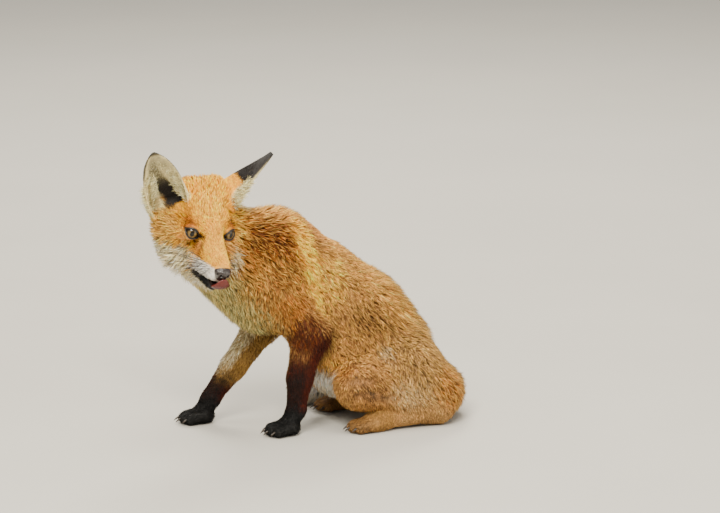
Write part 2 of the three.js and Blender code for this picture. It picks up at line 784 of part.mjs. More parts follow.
function hindlegBox( side ) {

  const [ y0, y1 ] = across( side, - 14, 136 );
  return [ [ - 50, y0, - 24 ], [ 222, y1, 178 ] ];

}

function addHindleg( side ) {

  const [ y0, y1 ] = across( side, 12, 136 );
  const pawBox = [ [ - 20, y0, - 14 ], [ 142, y1, 66 ] ];
  const foot = ( margin ) => block( [ - 60, - FAR, - 60 ], [ HEEL + margin, FAR, INSTEP + margin ] );
  const region = hindlegSide( side, - SEAM );

  piece( 'hindleg_' + sideName( side ),
    fieldSolid( animal, hindlegBox( side ), CELL.thigh ).intersect( region ).subtract( foot( SEAM ) ).intersect( floor ), 'rust' );
  addPaw( 'hindpaw', side,
    fieldSolid( animal, pawBox, CELL.paw ).intersect( region ).intersect( foot( - SEAM ) ),
    clawPlaces( onSide( side, HINDPAW.ball ), HINDPAW, side * HINDPAW.turn ) );

}

function addTrunkAndNeck() {

  const legs = SIDES.map( ( side ) => forelegSide( side, SEAM ).add( hindlegSide( side, SEAM ) ) )
    .reduce( ( all, leg ) => all.add( leg ) );
  const body = ( box, cell ) => fieldSolid( animal, box, cell ).subtract( headSide( - SEAM ) ).subtract( legs );

  piece( 'trunk', body( TRUNK_BOX, CELL.trunk )
    .subtract( neckSide( - SEAM ) )
    .intersect( floor ), 'rust' );
  piece( 'neck', body( [ [ - 290, - 150, 120 ], [ - 10, 116, 400 ] ], CELL.neck )
    .intersect( neckSide( SEAM ) ), 'rust' );

}

function addTail() {

  const clearance = 1.5;
  const whole = fieldSolid( tail, [ [ - 40, - 30, - 20 ], [ 250, 210, 110 ] ], CELL.tail )
    .subtract( fieldSolid( animal, TRUNK_BOX, CELL.trunk, clearance ) )
    .subtract( fieldSolid( animal, hindlegBox( RIGHT ), CELL.thigh, clearance ) )
    .intersect( floor );
  const behind = ( way ) => beyond( at( 0, 84, 0 ), at( 0, way, 0 ), SEAM );
  const rearOf = ( x, way ) => beyond( at( x, 0, 0 ), at( way, 0, 0 ), SEAM );

  piece( 'tail_root', whole.intersect( behind( - 1 ) ), 'rust' );
  piece( 'tail_middle', whole.intersect( behind( 1 ) ).intersect( rearOf( 78, 1 ) ), 'rust' );
  piece( 'tail_tip', whole.intersect( behind( 1 ) ).intersect( rearOf( 78, - 1 ) ), 'cream' );

}

function addHead() {

  const headBox = [ [ - 320, - 180, 180 ], [ - 80, 76, 440 ] ];
  const faceBox = [ [ - 290, - 176, 200 ], [ - 100, - 20, 390 ] ];
  const jawBox = [ [ - 250, - 176, 190 ], [ - 150, - 40, 320 ] ];
  const noseSolid = ( grow ) => fieldSolid( nose, [ [ - 230, - 184, 236 ], [ - 160, - 100, 306 ] ], CELL.nose, grow );
  const hollows = [ mouth, noseSolid( 0.6 ), tongueSolid( 0.5 ) ];
  const part = ( box, cell ) => hollows.reduce( ( solid, tool ) => solid.subtract( tool ), fieldSolid( animal, box, cell ) )
    .intersect( headSide( SEAM ) );
  const sockets = pair( ( side ) => eyeball( side, EYE.radius + GAP ).add( lidOpening( side ) ) );

  piece( 'head', part( headBox, CELL.skull ).subtract( faceSide( - SEAM ) ).subtract( jawSide( SEAM ) ), 'rust' );
  piece( 'face', sockets.reduce( ( solid, socket ) => solid.subtract( socket ), part( faceBox, CELL.face ) )
    .intersect( faceSide( SEAM ) )
    .subtract( jawSide( SEAM ) ), 'rust' );
  piece( 'lower_jaw', part( jawBox, CELL.jaw ).intersect( jawSide( - SEAM ) ), 'cream' );
  piece( 'nose', pair( nostril ).reduce( ( solid, hole ) => solid.subtract( hole ), noseSolid( 0 ) ), 'leather' );
  piece( 'tongue', tongueSolid( 0 ), 'tongue' );
  piece( 'eye_left', eyeball( 1, EYE.radius ), 'iris' );
  piece( 'eye_right', eyeball( - 1, EYE.radius ), 'iris' );

  const headSkin = fieldSolid( animal, headBox, CELL.skull, 2.2 );
  for ( const [ name, ear ] of Object.entries( EARS ) ) piece( 'ear_' + name, earSolid( ear ).subtract( headSkin ), 'rust' );

}

SIDES.forEach( addForeleg );
SIDES.forEach( addHindleg );
addTrunkAndNeck();
addTail();
addHead();

// The origin is on the floor under the middle of the model.
fox.updateMatrixWorld( true );
const middle = new THREE.Box3().setFromObject( fox, true ).getCenter( at( 0, 0, 0 ) );
fox.position.set( - middle.x, - middle.y, 0 );

export default fox;
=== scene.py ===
# A young red fox, sitting and looking back over its left side: skin, coat, eyes, nose, tongue and light.
# The anatomy repeats the part's own named sizes in millimetres, before the part is centred on its origin.
# A share of the coat's depth is taken off each form, which leaves the skin that the coat grows from.

from concurrent.futures import ThreadPoolExecutor

import bpy
import numpy as np
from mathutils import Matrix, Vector, kdtree


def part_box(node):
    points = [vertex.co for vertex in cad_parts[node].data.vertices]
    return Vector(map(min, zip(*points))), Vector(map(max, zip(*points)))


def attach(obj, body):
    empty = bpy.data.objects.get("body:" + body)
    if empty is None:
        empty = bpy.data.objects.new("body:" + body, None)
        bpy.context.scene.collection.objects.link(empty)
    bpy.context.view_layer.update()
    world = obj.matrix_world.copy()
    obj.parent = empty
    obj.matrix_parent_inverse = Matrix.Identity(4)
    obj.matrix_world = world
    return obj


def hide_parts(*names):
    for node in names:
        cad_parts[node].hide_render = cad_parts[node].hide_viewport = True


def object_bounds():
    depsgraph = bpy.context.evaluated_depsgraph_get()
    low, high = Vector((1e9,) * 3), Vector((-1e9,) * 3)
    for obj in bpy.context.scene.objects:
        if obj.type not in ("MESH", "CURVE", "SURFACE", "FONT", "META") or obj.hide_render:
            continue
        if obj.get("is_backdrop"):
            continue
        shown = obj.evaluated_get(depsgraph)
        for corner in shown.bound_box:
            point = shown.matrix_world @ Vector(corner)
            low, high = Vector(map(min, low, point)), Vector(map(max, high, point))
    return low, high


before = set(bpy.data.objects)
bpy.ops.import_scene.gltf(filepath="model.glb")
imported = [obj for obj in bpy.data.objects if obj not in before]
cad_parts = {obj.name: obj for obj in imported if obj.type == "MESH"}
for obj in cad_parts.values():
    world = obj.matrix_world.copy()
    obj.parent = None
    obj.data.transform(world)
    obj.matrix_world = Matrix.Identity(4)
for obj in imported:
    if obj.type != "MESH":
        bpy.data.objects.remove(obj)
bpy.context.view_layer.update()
rng = np.random.default_rng(11)

LEFT, RIGHT = -1, 1
SIDES = (LEFT, RIGHT)


def at(x, y, z):
    return np.array((x, y, z), float)


def unit(v):
    return v / (np.linalg.norm(v, axis=-1, keepdims=True) + 1e-9)


def rotate(v, axis, degrees):
    axis, turn = unit(axis), np.radians(degrees)
    return v * np.cos(turn) + np.cross(axis, v) * np.sin(turn) + axis * np.dot(axis, v) * (1 - np.cos(turn))


def smooth(x, low, high):
    t = np.clip((x - low) / (high - low), 0, 1)
    return t * t * (3 - 2 * t)


# ---------------------------------------------------------------- sizes of the animal

# Middle of the body, radius and depth of the coat, from the withers to the pelvis.
SPINE = [(at(-70, 0, 250), 70, 10), (at(-12, 0, 207), 74, 9), (at(58, 0, 148), 71, 9),
         (at(116, 0, 80), 62, 10), (at(150, 0, 44), 50, 10)]
SLIMNESS = 0.82
NAPE = [(at(-66, 0, 256), 66, 11), (at(-128, -4, 281), 54, 12), (at(-188, -20, 317), 47, 10)]
THROAT = [(at(-108, 0, 204), 50, 12), (at(-188, -42, 270), 45, 10)]
TAIL = [(at(176, 20, 32), 25), (at(190, 66, 31), 30), (at(172, 116, 35), 38), (at(124, 142, 38), 42),
        (at(70, 142, 35), 38), (at(30, 126, 24), 26), (at(6, 110, 11), 11)]
TAIL = [(point, radius, 0.52 * radius) for point, radius in TAIL]
FORELEGS = {
    LEFT: dict(shoulder=at(-92, -44, 214), elbow=at(-38, -52, 150), knee=at(-52, -52, 84),
               wrist=at(-58, -50, 36), turn=3),
    RIGHT: dict(shoulder=at(-100, 44, 210), elbow=at(-72, 50, 146), knee=at(-118, 56, 82),
                wrist=at(-152, 62, 36), turn=-5)}
FOREPAW = dict(reach=40, width=37)
HINDLEG = dict(hip=(112, 38, 82), seat=(158, 42, 43), knee=(34, 62, 66), hock=(158, 66, 21))
HINDPAW = dict(ball=(66, 74, 16), reach=44, width=35, turn=3)
HEAD = dict(middle=at(-195, -78, 312), turn=96, nod=29, lean=9)
EYE = dict(centre=(-7.5, 28.5, -2), radius=11, outward=20, upward=15, width=25, height=15, slant=16,
           gaze=at(0.05, -0.12, 0.02))
# Middle of the gap between the lips, from its corner to the front, and half its height.
LIP_LINE = [(at(14, 0, -48.5), 0.5), (at(40, 0, -48), 1.3), (at(58, 0, -45.5), 3), (at(100, 0, -39), 7)]
EARS = {
    "right": dict(root=at(-57, -50, 10), tip=at(-65, -103, 92), opens=at(0.95, -0.3, 0), cup=20, curl=0.9),
    "left": dict(root=at(-66, 46, 18), tip=at(-89, 103, 84), opens=at(0.64, 0.68, -0.3), cup=27, curl=1.3)}
EAR = dict(half_width=29.5, sink=12)


def on_side(side, point):
    return at(point[0], side * point[1], point[2])


# ---------------------------------------------------------------- distance fields

def ball(centre, radii):
    c, r = np.float32(centre), np.float32(np.broadcast_to(radii, 3))

    def field(p):
        q = (p - c) / r
        reach = np.sqrt((q * q).sum(1))
        q /= r
        return reach * (reach - 1) / (np.sqrt((q * q).sum(1)) + 1e-9)
    return field


def bone(a, b, ra, rb, slimness=1):
    squeeze = np.float32((1, 1 / slimness, 1))
    a, along = np.float32(a), np.float32(b - a) * squeeze
    length2 = float(along @ along)

    def field(p):
        q = (p - a) * squeeze
        t = np.clip(q @ along / length2, 0, 1)
        q -= t[:, None] * along
        return np.sqrt((q * q).sum(1)) - (ra + t * (rb - ra))
    return field


def soften(softness, d, e):
    h = np.maximum(0, softness - np.abs(d - e)) / softness
    return np.minimum(d, e) - h * h * softness / 4


def blend(softness, *fields):
    def field(p):
        d = fields[0](p)
        for other in fields[1:]:
            d = soften(softness, d, other(p))
        return d
    return field


def hollow(softness, field, tool):
    return lambda p: -soften(softness, -field(p), tool(p))


def curve_point(points, t):
    """A centripetal Catmull-Rom curve through the points."""
    place = t * (len(points) - 1)
    i = min(int(place), len(points) - 2)
    w = place - i
    before = points[i - 1] if i > 0 else 2 * points[0] - points[1]
    after = points[i + 2] if i + 2 < len(points) else 2 * points[-1] - points[-2]
    p0, p1, p2, p3 = before, points[i], points[i + 1], after
    d0, d1, d2 = (max(np.linalg.norm(b - a) ** 0.5, 1e-4) for a, b in ((p0, p1), (p1, p2), (p2, p3)))
    m1 = ((p1 - p0) / d0 - (p2 - p0) / (d0 + d1) + (p2 - p1) / d1) * d1
    m2 = ((p2 - p1) / d1 - (p3 - p1) / (d1 + d2) + (p3 - p2) / d2) * d1
    c2, c3 = -3 * p1 + 3 * p2 - 2 * m1 - m2, 2 * p1 - 2 * p2 + m1 + m2
    return p1 + m1 * w + c2 * w * w + c3 * w ** 3


def links(joints, share, steps=4):
    """The short bones of a smooth limb, as (from, to, radius, radius)."""
    points = [joint[0] for joint in joints]
    radii = [joint[1] - share * joint[2] for joint in joints]
    count = steps * (len(joints) - 1)
    station = [curve_point(points, i / count) for i in range(count + 1)]
    radius = [np.interp(i / steps, range(len(radii)), radii) for i in range(count + 1)]
    return [(station[i], station[i + 1], radius[i], radius[i + 1]) for i in range(count)]


def limb(joints, share, slimness=1):
    bones = [bone(*link, slimness) for link in links(joints, share)]
    return lambda p: np.min([one(p) for one in bones], 0)


# ---------------------------------------------------------------- the head's and the paws' own frames

def head_axes():
    turn = np.radians(HEAD["turn"])
    level = at(-np.cos(turn), -np.sin(turn), 0)
    left = np.cross(at(0, 0, 1), level)
    nose = rotate(level, left, HEAD["nod"])
    left = rotate(left, nose, -HEAD["lean"])
    return np.array([nose, left, np.cross(nose, left)])


HEAD_AXES = head_axes()


def in_head(p):
    return HEAD["middle"] + np.asarray(p, float) @ HEAD_AXES


def to_head(p):
    return (p - HEAD["middle"]) @ HEAD_AXES.T


def to_head_single(p):
    """The same in the single precision of the distance fields."""
    return (p - np.float32(HEAD["middle"])) @ np.float32(HEAD_AXES.T)


def paw_axes(turn):
    c, s = np.cos(np.radians(turn)), np.sin(np.radians(turn))
    return np.array([(c, s, 0), (-s, c, 0), (0, 0, 1)])


PAWS = [("forepaw", side, FORELEGS[side]["wrist"], FOREPAW, FORELEGS[side]["turn"]) for side in SIDES]
PAWS += [("hindpaw", side, on_side(side, HINDPAW["ball"]), HINDPAW, side * HINDPAW["turn"]) for side in SIDES]


def toes(size):
    for place in (-1.5, -0.5, 0.5, 1.5):
        yield size["reach"] * (1 if abs(place) < 1 else 0.84), 0.3 * size["width"] * place


def eye_axes(side):
    out = rotate(rotate(at(1, 0, 0), at(0, 1, 0), -EYE["upward"]), at(0, 0, 1), side * EYE["outward"])
    wide = unit(np.cross(at(0, 0, 1), out))
    up = np.cross(out, wide)
    turn = np.radians(side * EYE["slant"])
    return wide * np.cos(turn) + up * np.sin(turn), up * np.cos(turn) - wide * np.sin(turn), out


def ear_axes(ear):
    up = unit(ear["tip"] - ear["root"])
    front = unit(ear["opens"] - up * np.dot(ear["opens"], up))
    return up, front, np.cross(up, front)


# ---------------------------------------------------------------- anatomy, with a share of the coat taken off

def body_field(share):
    chest = ball(at(-82, 0, 196), at(56, 50, 58) - 11 * share)
    belly = ball(at(31, 0, 96), at(57, 54, 62) - 10 * share)
    rump = bone(at(140, 0, 58), at(188, 2, 34), 52 - 11 * share, 31 - 9 * share)
    armpit = [ball(at(-12, s * 37, 122), at(25, 14, 24) - 7 * share) for s in SIDES]
    trunk = blend(30, limb(SPINE, share, SLIMNESS), chest, belly, rump, *armpit)
    return blend(26, trunk, limb(NAPE, share, 0.95), limb(THROAT, share))


def foreleg_field(side, share):
    leg = FORELEGS[side]
    upper = bone(leg["shoulder"], leg["elbow"], 44 - 9 * share, 30 - 6 * share, 0.7)
    lower = blend(8, bone(leg["elbow"], leg["knee"], 27 - 5 * share, 20 - 3 * share, 0.8),
                  bone(leg["knee"], leg["wrist"], 20 - 3 * share, 14 - 1.6 * share, 0.8))
    return blend(14, upper, lower)


def hindleg_field(side, share):
    hip, seat, knee, hock = (on_side(side, HINDLEG[joint]) for joint in ("hip", "seat", "knee", "hock"))
    thigh = bone(hip, knee, 52 - 10 * share, 33 - 7 * share, 0.84)
    ham = bone(seat, hip, 44 - 10 * share, 50 - 10 * share, 0.9)
    shank = bone(knee, hock, 31 - 6 * share, 19 - 4 * share)
    foot = bone(hock, on_side(side, HINDPAW["ball"]), 16 - 3 * share, 13.5 - 2 * share)
    return blend(8, blend(20, thigh, ham, shank), foot)


def paw_field(root, size, turn, share):
    reach, width = size["reach"], size["width"]
    fields = [bone(at(-0.3 * reach, 0.8 * y, 13), at(-far, y, 8.4), 8.6 - 1.2 * share, 7.6 - 1.2 * share)
              for far, y in toes(size)]
    pad = ball(at(-0.28 * reach, 0, 10), at(0.46 * reach, 0.44 * width, 13) - 1.6 * share)
    back = bone(at(2, 0, min(root[2], 34)), at(-0.42 * reach, 0, 14), 12.5 - 1.6 * share, 12 - 1.6 * share)
    whole = blend(5, blend(3.5 - 1.5 * share, *fields), blend(8, pad, back))
    axes = np.float32(paw_axes(turn))
    origin = np.float32((root[0], root[1], 0))
    return lambda p: whole((p - origin) @ axes.T)


def head_field(share):
    def both(make):
        return [make(s) for s in SIDES]

    skull = ball(at(-52, 0, 6), at(40, 42, 35) - 5 * share)
    nape = ball(at(-74, 0, 8), at(32, 46, 34) - 8 * share)
    forehead = bone(at(-44, 0, 6), at(-14, 0, 4), 32 - 4.5 * share, 20 - 2.5 * share)
    brow = both(lambda s: ball(at(-20, s * 20, 10), at(15, 14, 13) - 2.4 * share))
    cheekbone = both(lambda s: ball(at(-25, s * 32, -14), at(19, 14, 15) - 3 * share))
    bridge = bone(at(-10, 0, 1), at(50, 0, -16), 18 - 1.8 * share, 11.5 - 1.2 * share)
    muzzle = bone(at(10, 0, -22), at(54, 0, -22), 20 - 1.8 * share, 14 - 1.2 * share)
    lips = both(lambda s: bone(at(14, s * 12, -36), at(54, s * 6, -32), 12 - 1.5 * share, 8.5 - 1 * share))
    cheek = both(lambda s: ball(at(-48, s * 39, -26), at(32, 28, 32) - 8 * share))
    ruff = both(lambda s: ball(at(-36, s * 27, -56), at(34, 25, 28) - 9 * share))
    jowl = ball(at(-40, 0, -42), at(42, 46, 32) - 8 * share)
    scalp = both(lambda s: ball(at(-67, s * 26, 16 + 8 * s), 27 - 6 * share))
    ear_base = [bone(e["root"] - 0.2 * (e["tip"] - e["root"]) + at(-14, 0, -4), e["root"] + at(-18, 0, -4),
                     22 - 5 * share, 18 - 5 * share) for e in EARS.values()]
    lid = both(lambda s: ball(on_side(s, EYE["centre"]), EYE["radius"] + 1.4 - 0.2 * share))
    jaw = blend(10, bone(at(-24, 0, -54), at(18, 0, -56), 22 - 6 * share, 15 - 3 * share),
                bone(at(18, 0, -56), at(50, 0, -53), 13 - 2 * share, 8.5 - 1 * share))

    face = blend(10, skull, nape, forehead, bridge, *brow, *cheekbone)
    mask = blend(10, face, blend(8, muzzle, *lips))
    whole = blend(4, blend(14, mask, *cheek, *ruff, *ear_base, *scalp, jowl), *lid)
    bowls = [ball(e["root"] + 18 * ear_axes(e)[0], 27) for e in EARS.values()]
    return blend(12, hollow(8, whole, blend(1, *bowls)), jaw)


def ear_place(ear, p):
    """How far points are from the ear's middle, their height, place across and which face they are on."""
    up, front, wide = (np.float32(v) for v in ear_axes(ear))
    foot = np.float32(ear["root"] - up * EAR["sink"])
    height = float(np.linalg.norm(ear["tip"] - foot))
    q = p - foot
    h, a, f = q @ up, q @ wide, q @ front
    t = np.clip(h / height, 0, 1)
    half = EAR["half_width"] * (1 - (0.985 * t) ** 3) ** 0.75
    curl = ear["curl"] + (2.2 - ear["curl"]) * (1 - t) ** 1.6
    radius = half / np.sin(np.minimum(curl, np.pi / 2))
    depth = ear["cup"] * (1 - 0.8 * t * t)
    f = f + 0.8 * depth * (1 - t) + 4 * np.sin(np.pi * t) - depth
    angle = np.clip(np.arctan2(a / radius, -f / depth), -curl, curl)
    for _ in range(2):
        da, df = a - radius * np.sin(angle), f + depth * np.cos(angle)
        ta, tf = radius * np.cos(angle), depth * np.sin(angle)
        angle = np.clip(angle + (da * ta + df * tf) / (ta * ta + tf * tf), -curl, curl)
    da, df = a - radius * np.sin(angle), f + depth * np.cos(angle)
    inward = df * np.cos(angle) / depth - da * np.sin(angle) / radius
    inward /= np.hypot(np.cos(angle) / depth, np.sin(angle) / radius)
    return np.sqrt(da * da + df * df + (h - t * height) ** 2), t, angle / curl, inward


def ear_field(ear, share):
    """A cup, wide and rolled at its root and flat and pointed at its tip."""
    def field(p):
        away, t, across, _ = ear_place(ear, p)
        wall = (1 + 2.2 * (1 - t)) * (1 - 0.45 * across * across)
        return away - (np.maximum(1.25, wall - 0.6) if share else wall)
    return field


def outside_almond(u, v):
    """How far places across and up from the eye's middle are outside the opening between the lids."""
    return np.abs(v) - 0.5 * EYE["height"] * (1 - (2 * u / EYE["width"]) ** 2)


def lid_opening(p):
    """The almond between the lids, cut down to the eyeball."""
    d = np.full(len(p), 1e3, np.float32)
    for s in SIDES:
        wide, up, out = (np.float32(v) for v in eye_axes(s))
        q = p - np.float32(on_side(s, EYE["centre"]))
        d = np.minimum(d, np.maximum(0.8 * outside_almond(q @ wide, q @ up), 4 - q @ out))
    return d


def mouth(p):
    """The gap between the lips, from its corner to the front."""
    flat = p * np.float32((1, 0, 1))
    gap = blend(2, *(bone(a, b, ra, rb) for (a, ra), (b, rb) in zip(LIP_LINE, LIP_LINE[1:])))(flat)
    return np.maximum(gap, np.abs(p[:, 1]) - 30)


def ears_field(share):
    fields = [ear_field(ear, share) for ear in EARS.values()]
    return lambda p: np.minimum(fields[0](p), fields[1](p))


def fox(share):
    """The whole animal and its main parts, each a field, with that share of the coat's depth taken off."""
    head, ears = head_field(share), ears_field(share)
    parts = {
        "body": body_field(share),
        "forelegs": lambda p: np.minimum(fore[0](p), fore[1](p)),
        "hindlegs": lambda p: np.minimum(hind[0](p), hind[1](p)),
        "paws": lambda p: np.min([paw(p) for paw in paws], 0),
        "head": lambda p: head(to_head_single(p)),
        "ears": lambda p: ears(to_head_single(p)),
        "tail": limb(TAIL, share)}
    fore = [foreleg_field(s, share) for s in SIDES]
    hind = [hindleg_field(s, share) for s in SIDES]
    paws = [paw_field(root, size, turn, share) for _, _, root, size, turn in PAWS]
    animal = blend(10, blend(22, blend(18, parts["body"], *fore), *hind), parts["head"], *paws)
    animal = blend(8, animal, parts["tail"])

    def whole(p):
        d = animal(p)
        near = d < 130
        q = to_head_single(p[near])
        d[near] = soften(6, d[near], ears(q))
        if share:
            d[near] = -soften(0.8, -d[near], lid_opening(q))
            d[near] = -soften(1.6, -d[near], mouth(q))
            d = np.maximum(d, 0.5 - p[:, 2])
        return d
    return whole, parts


def spread(function, points, chunk=30000):
    """Evaluates a field over many points in parallel."""
    points = np.asarray(points, np.float32)
    with ThreadPoolExecutor(4) as pool:
        parts = pool.map(function, [points[i:i + chunk] for i in range(0, len(points), chunk)])
        return np.concatenate(list(parts))


def gradient(function, points, e=0.25):
    steps = [spread(function, points + e * axis) - spread(function, points - e * axis) for axis in np.eye(3)]
    return np.stack(steps, 1) / (2 * e)


# ---------------------------------------------------------------- field to mesh

def grid_axis(low, high, fine_low, fine_high, fine, coarse, growth=1.12):
    """Grid lines, close together between fine_low and fine_high and wider apart beyond."""
    lines = list(np.arange(fine_low, fine_high, fine))
    for end, way in ((high, 1), (low, -1)):
        step, place = fine, lines[-1] if way > 0 else lines[0]
        while way * (end - place) > 0:
            step = min(coarse, step * growth)
            place += way * step
            lines.insert(len(lines) if way > 0 else 0, place)
    return np.array(lines)


def sample(function, axes, band=7, spacing=7):
    """Field values on a grid, exact near the surface and interpolated from a coarse grid elsewhere."""
    coarse = [np.linspace(a[0], a[-1], int((a[-1] - a[0]) / spacing) + 2) for a in axes]
    nodes = np.stack(np.meshgrid(*coarse, indexing="ij"), -1).reshape(-1, 3)
    values = spread(function, nodes).reshape([len(c) for c in coarse])
    for k, (fine, wide) in enumerate(zip(axes, coarse)):
        place = np.interp(fine, wide, np.arange(len(wide)))
        low = np.minimum(place.astype(int), len(wide) - 2)
        share = (place - low).reshape([-1 if k == j else 1 for j in range(3)])
        values = values.take(low, k) * (1 - share) + values.take(low + 1, k) * share
    near = np.argwhere(np.abs(values) < band)
    points = np.stack([axes[k][near[:, k]] for k in range(3)], 1)
    values[tuple(near.T)] = spread(function, points)
    return values


def surface_nets(function, axes, settle=2):
    """A closed mesh of quads on the zero of the field: one vertex in each cell that the surface crosses."""
    values = sample(function, axes)
    inside = values < 0
    rings, crossings = [], []
    for a in range(3):
        b, c = (a + 1) % 3, (a + 2) % 3
        n = values.shape[a]
        low = np.argwhere(inside.take(range(n - 1), a) != inside.take(range(1, n), a))
        high = low.copy()
        high[:, a] += 1
        v0, v1 = values[tuple(low.T)], values[tuple(high.T)]
        point = np.stack([axes[k][low[:, k]] for k in range(3)], 1)
        point[:, a] += v0 / (v0 - v1) * (axes[a][high[:, a]] - axes[a][low[:, a]])
        ring = []
        for db, dc in ((-1, -1), (0, -1), (0, 0), (-1, 0)):
            cell = low.copy()
            cell[:, b] += db
            cell[:, c] += dc
            ring.append(np.ravel_multi_index(cell.T, values.shape))
        ring = np.stack(ring, 1)
        backwards = v0 > 0
        ring[backwards] = ring[backwards][:, ::-1]
        rings.append(ring)
        crossings.append(np.repeat(point, 4, 0))
    rings, crossings = np.concatenate(rings), np.concatenate(crossings)
    _, vertex = np.unique(rings.ravel(), return_inverse=True)
    number = np.bincount(vertex)
    points = np.stack([np.bincount(vertex, crossings[:, k]) / number for k in range(3)], 1)
    for _ in range(settle):
        slope = gradient(function, points)
        move = -spread(function, points)[:, None] * slope / np.maximum((slope ** 2).sum(1), 0.3)[:, None]
        points += np.clip(move, -0.8, 0.8)
    return points, vertex.reshape(-1, 4)


# ---------------------------------------------------------------- objects

eye_low, eye_high = (np.array(corner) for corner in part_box("eye_left"))
SHIFT = (eye_low + eye_high) / 2 * 1000 - in_head(EYE["centre"])


def to_frame(p):
    return (np.asarray(p) + SHIFT) / 1000


def make_object(name, points, faces, material, colours=None, uv=None, replaces=()):
    """A mesh object from millimetre points, riding on the fox, with its markings as a colour attribute."""
    faces = np.asarray(faces)
    mesh = bpy.data.meshes.new(name)
    mesh.vertices.add(len(points))
    mesh.vertices.foreach_set("co", to_frame(points).astype(np.float32).ravel())
    corners = faces.shape[1]
    mesh.loops.add(faces.size)
    mesh.loops.foreach_set("vertex_index", faces.astype(np.int32).ravel())
    mesh.polygons.add(len(faces))
    mesh.polygons.foreach_set("loop_start", np.arange(0, faces.size, corners, dtype=np.int32))
    mesh.polygons.foreach_set("use_smooth", np.ones(len(faces), bool))
    mesh.update(calc_edges=True)
    mesh.validate()
    if colours is not None:
        marks = mesh.color_attributes.new("Mark", "FLOAT_COLOR", "POINT")
        marks.data.foreach_set("color", np.c_[colours, np.ones(len(colours))].astype(np.float32).ravel())
    if uv is not None:
        mesh.uv_layers.new(name="OFBake").data.foreach_set("uv", uv.astype(np.float32).ravel())
    obj = bpy.data.objects.new(name, mesh)
    bpy.context.scene.collection.objects.link(obj)
    mesh.materials.append(material)
    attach(obj, "root")
    if replaces:
        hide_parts(*replaces)
    return obj


# ---------------------------------------------------------------- markings

def srgb(code):
    c = np.array([int(code[i:i + 2], 16) for i in (0, 2, 4)]) / 255
    return np.where(c <= 0.04045, c / 12.92, ((c + 0.055) / 1.055) ** 2.4)


PALETTE = {name: srgb(code) for name, code in dict(
    rust="b46a26", deep="5a2404", gold="ffb03c", flank="c48c50", back="e6a458", haunch="c0925a",
    pale_haunch="e6c494", cream="f4e6c0", white="fffaf0", ruff="f0e2ba", chest="ccc284", throat="b88e48",
    black="0c0b0b", soot="1a110b", brown="42220a", shin="4c1903", tan="9a743c", crown="f6aa20",
    bridge="fcb238", brow="a05412", ring="f2a858", cheek="eab054", earin="e6d6a0", eardark="140e0b",
    earback="181210", lips="0c0909", tail="b0803e", straw="f4c25e").items()}
# Gold is raised above its plain colour, so that the band behind the shoulder stays bright when shaded.
PALETTE["gold"] = PALETTE["gold"] * 1.6

# Middles of the ruffled folds between flank and thigh, on the right side, where the tufts lie lower and shade
# is painted into the coat.
FOLDS = ((30, 88, 81), (36, 92, 64), (62, 92, 56))


def near(p, centre, radii):
    """1 at a centre, falling smoothly to 0 at the edge of an ellipsoid."""
    q = (p - np.asarray(centre, float)) / np.asarray(radii, float)
    return smooth(1 - np.sqrt((q * q).sum(1)), 0, 0.55)


def waves(p, size, seed):
    """Smooth uneven patches of about that size, between -1 and 1."""
    source = np.random.default_rng(seed)
    total = np.zeros(len(p))
    for _ in range(6):
        way = unit(source.normal(size=3)) * source.uniform(0.7, 1.4) * 2 * np.pi / size
        total += np.sin(p @ way + source.uniform(0, 6.3))
    return total / 3


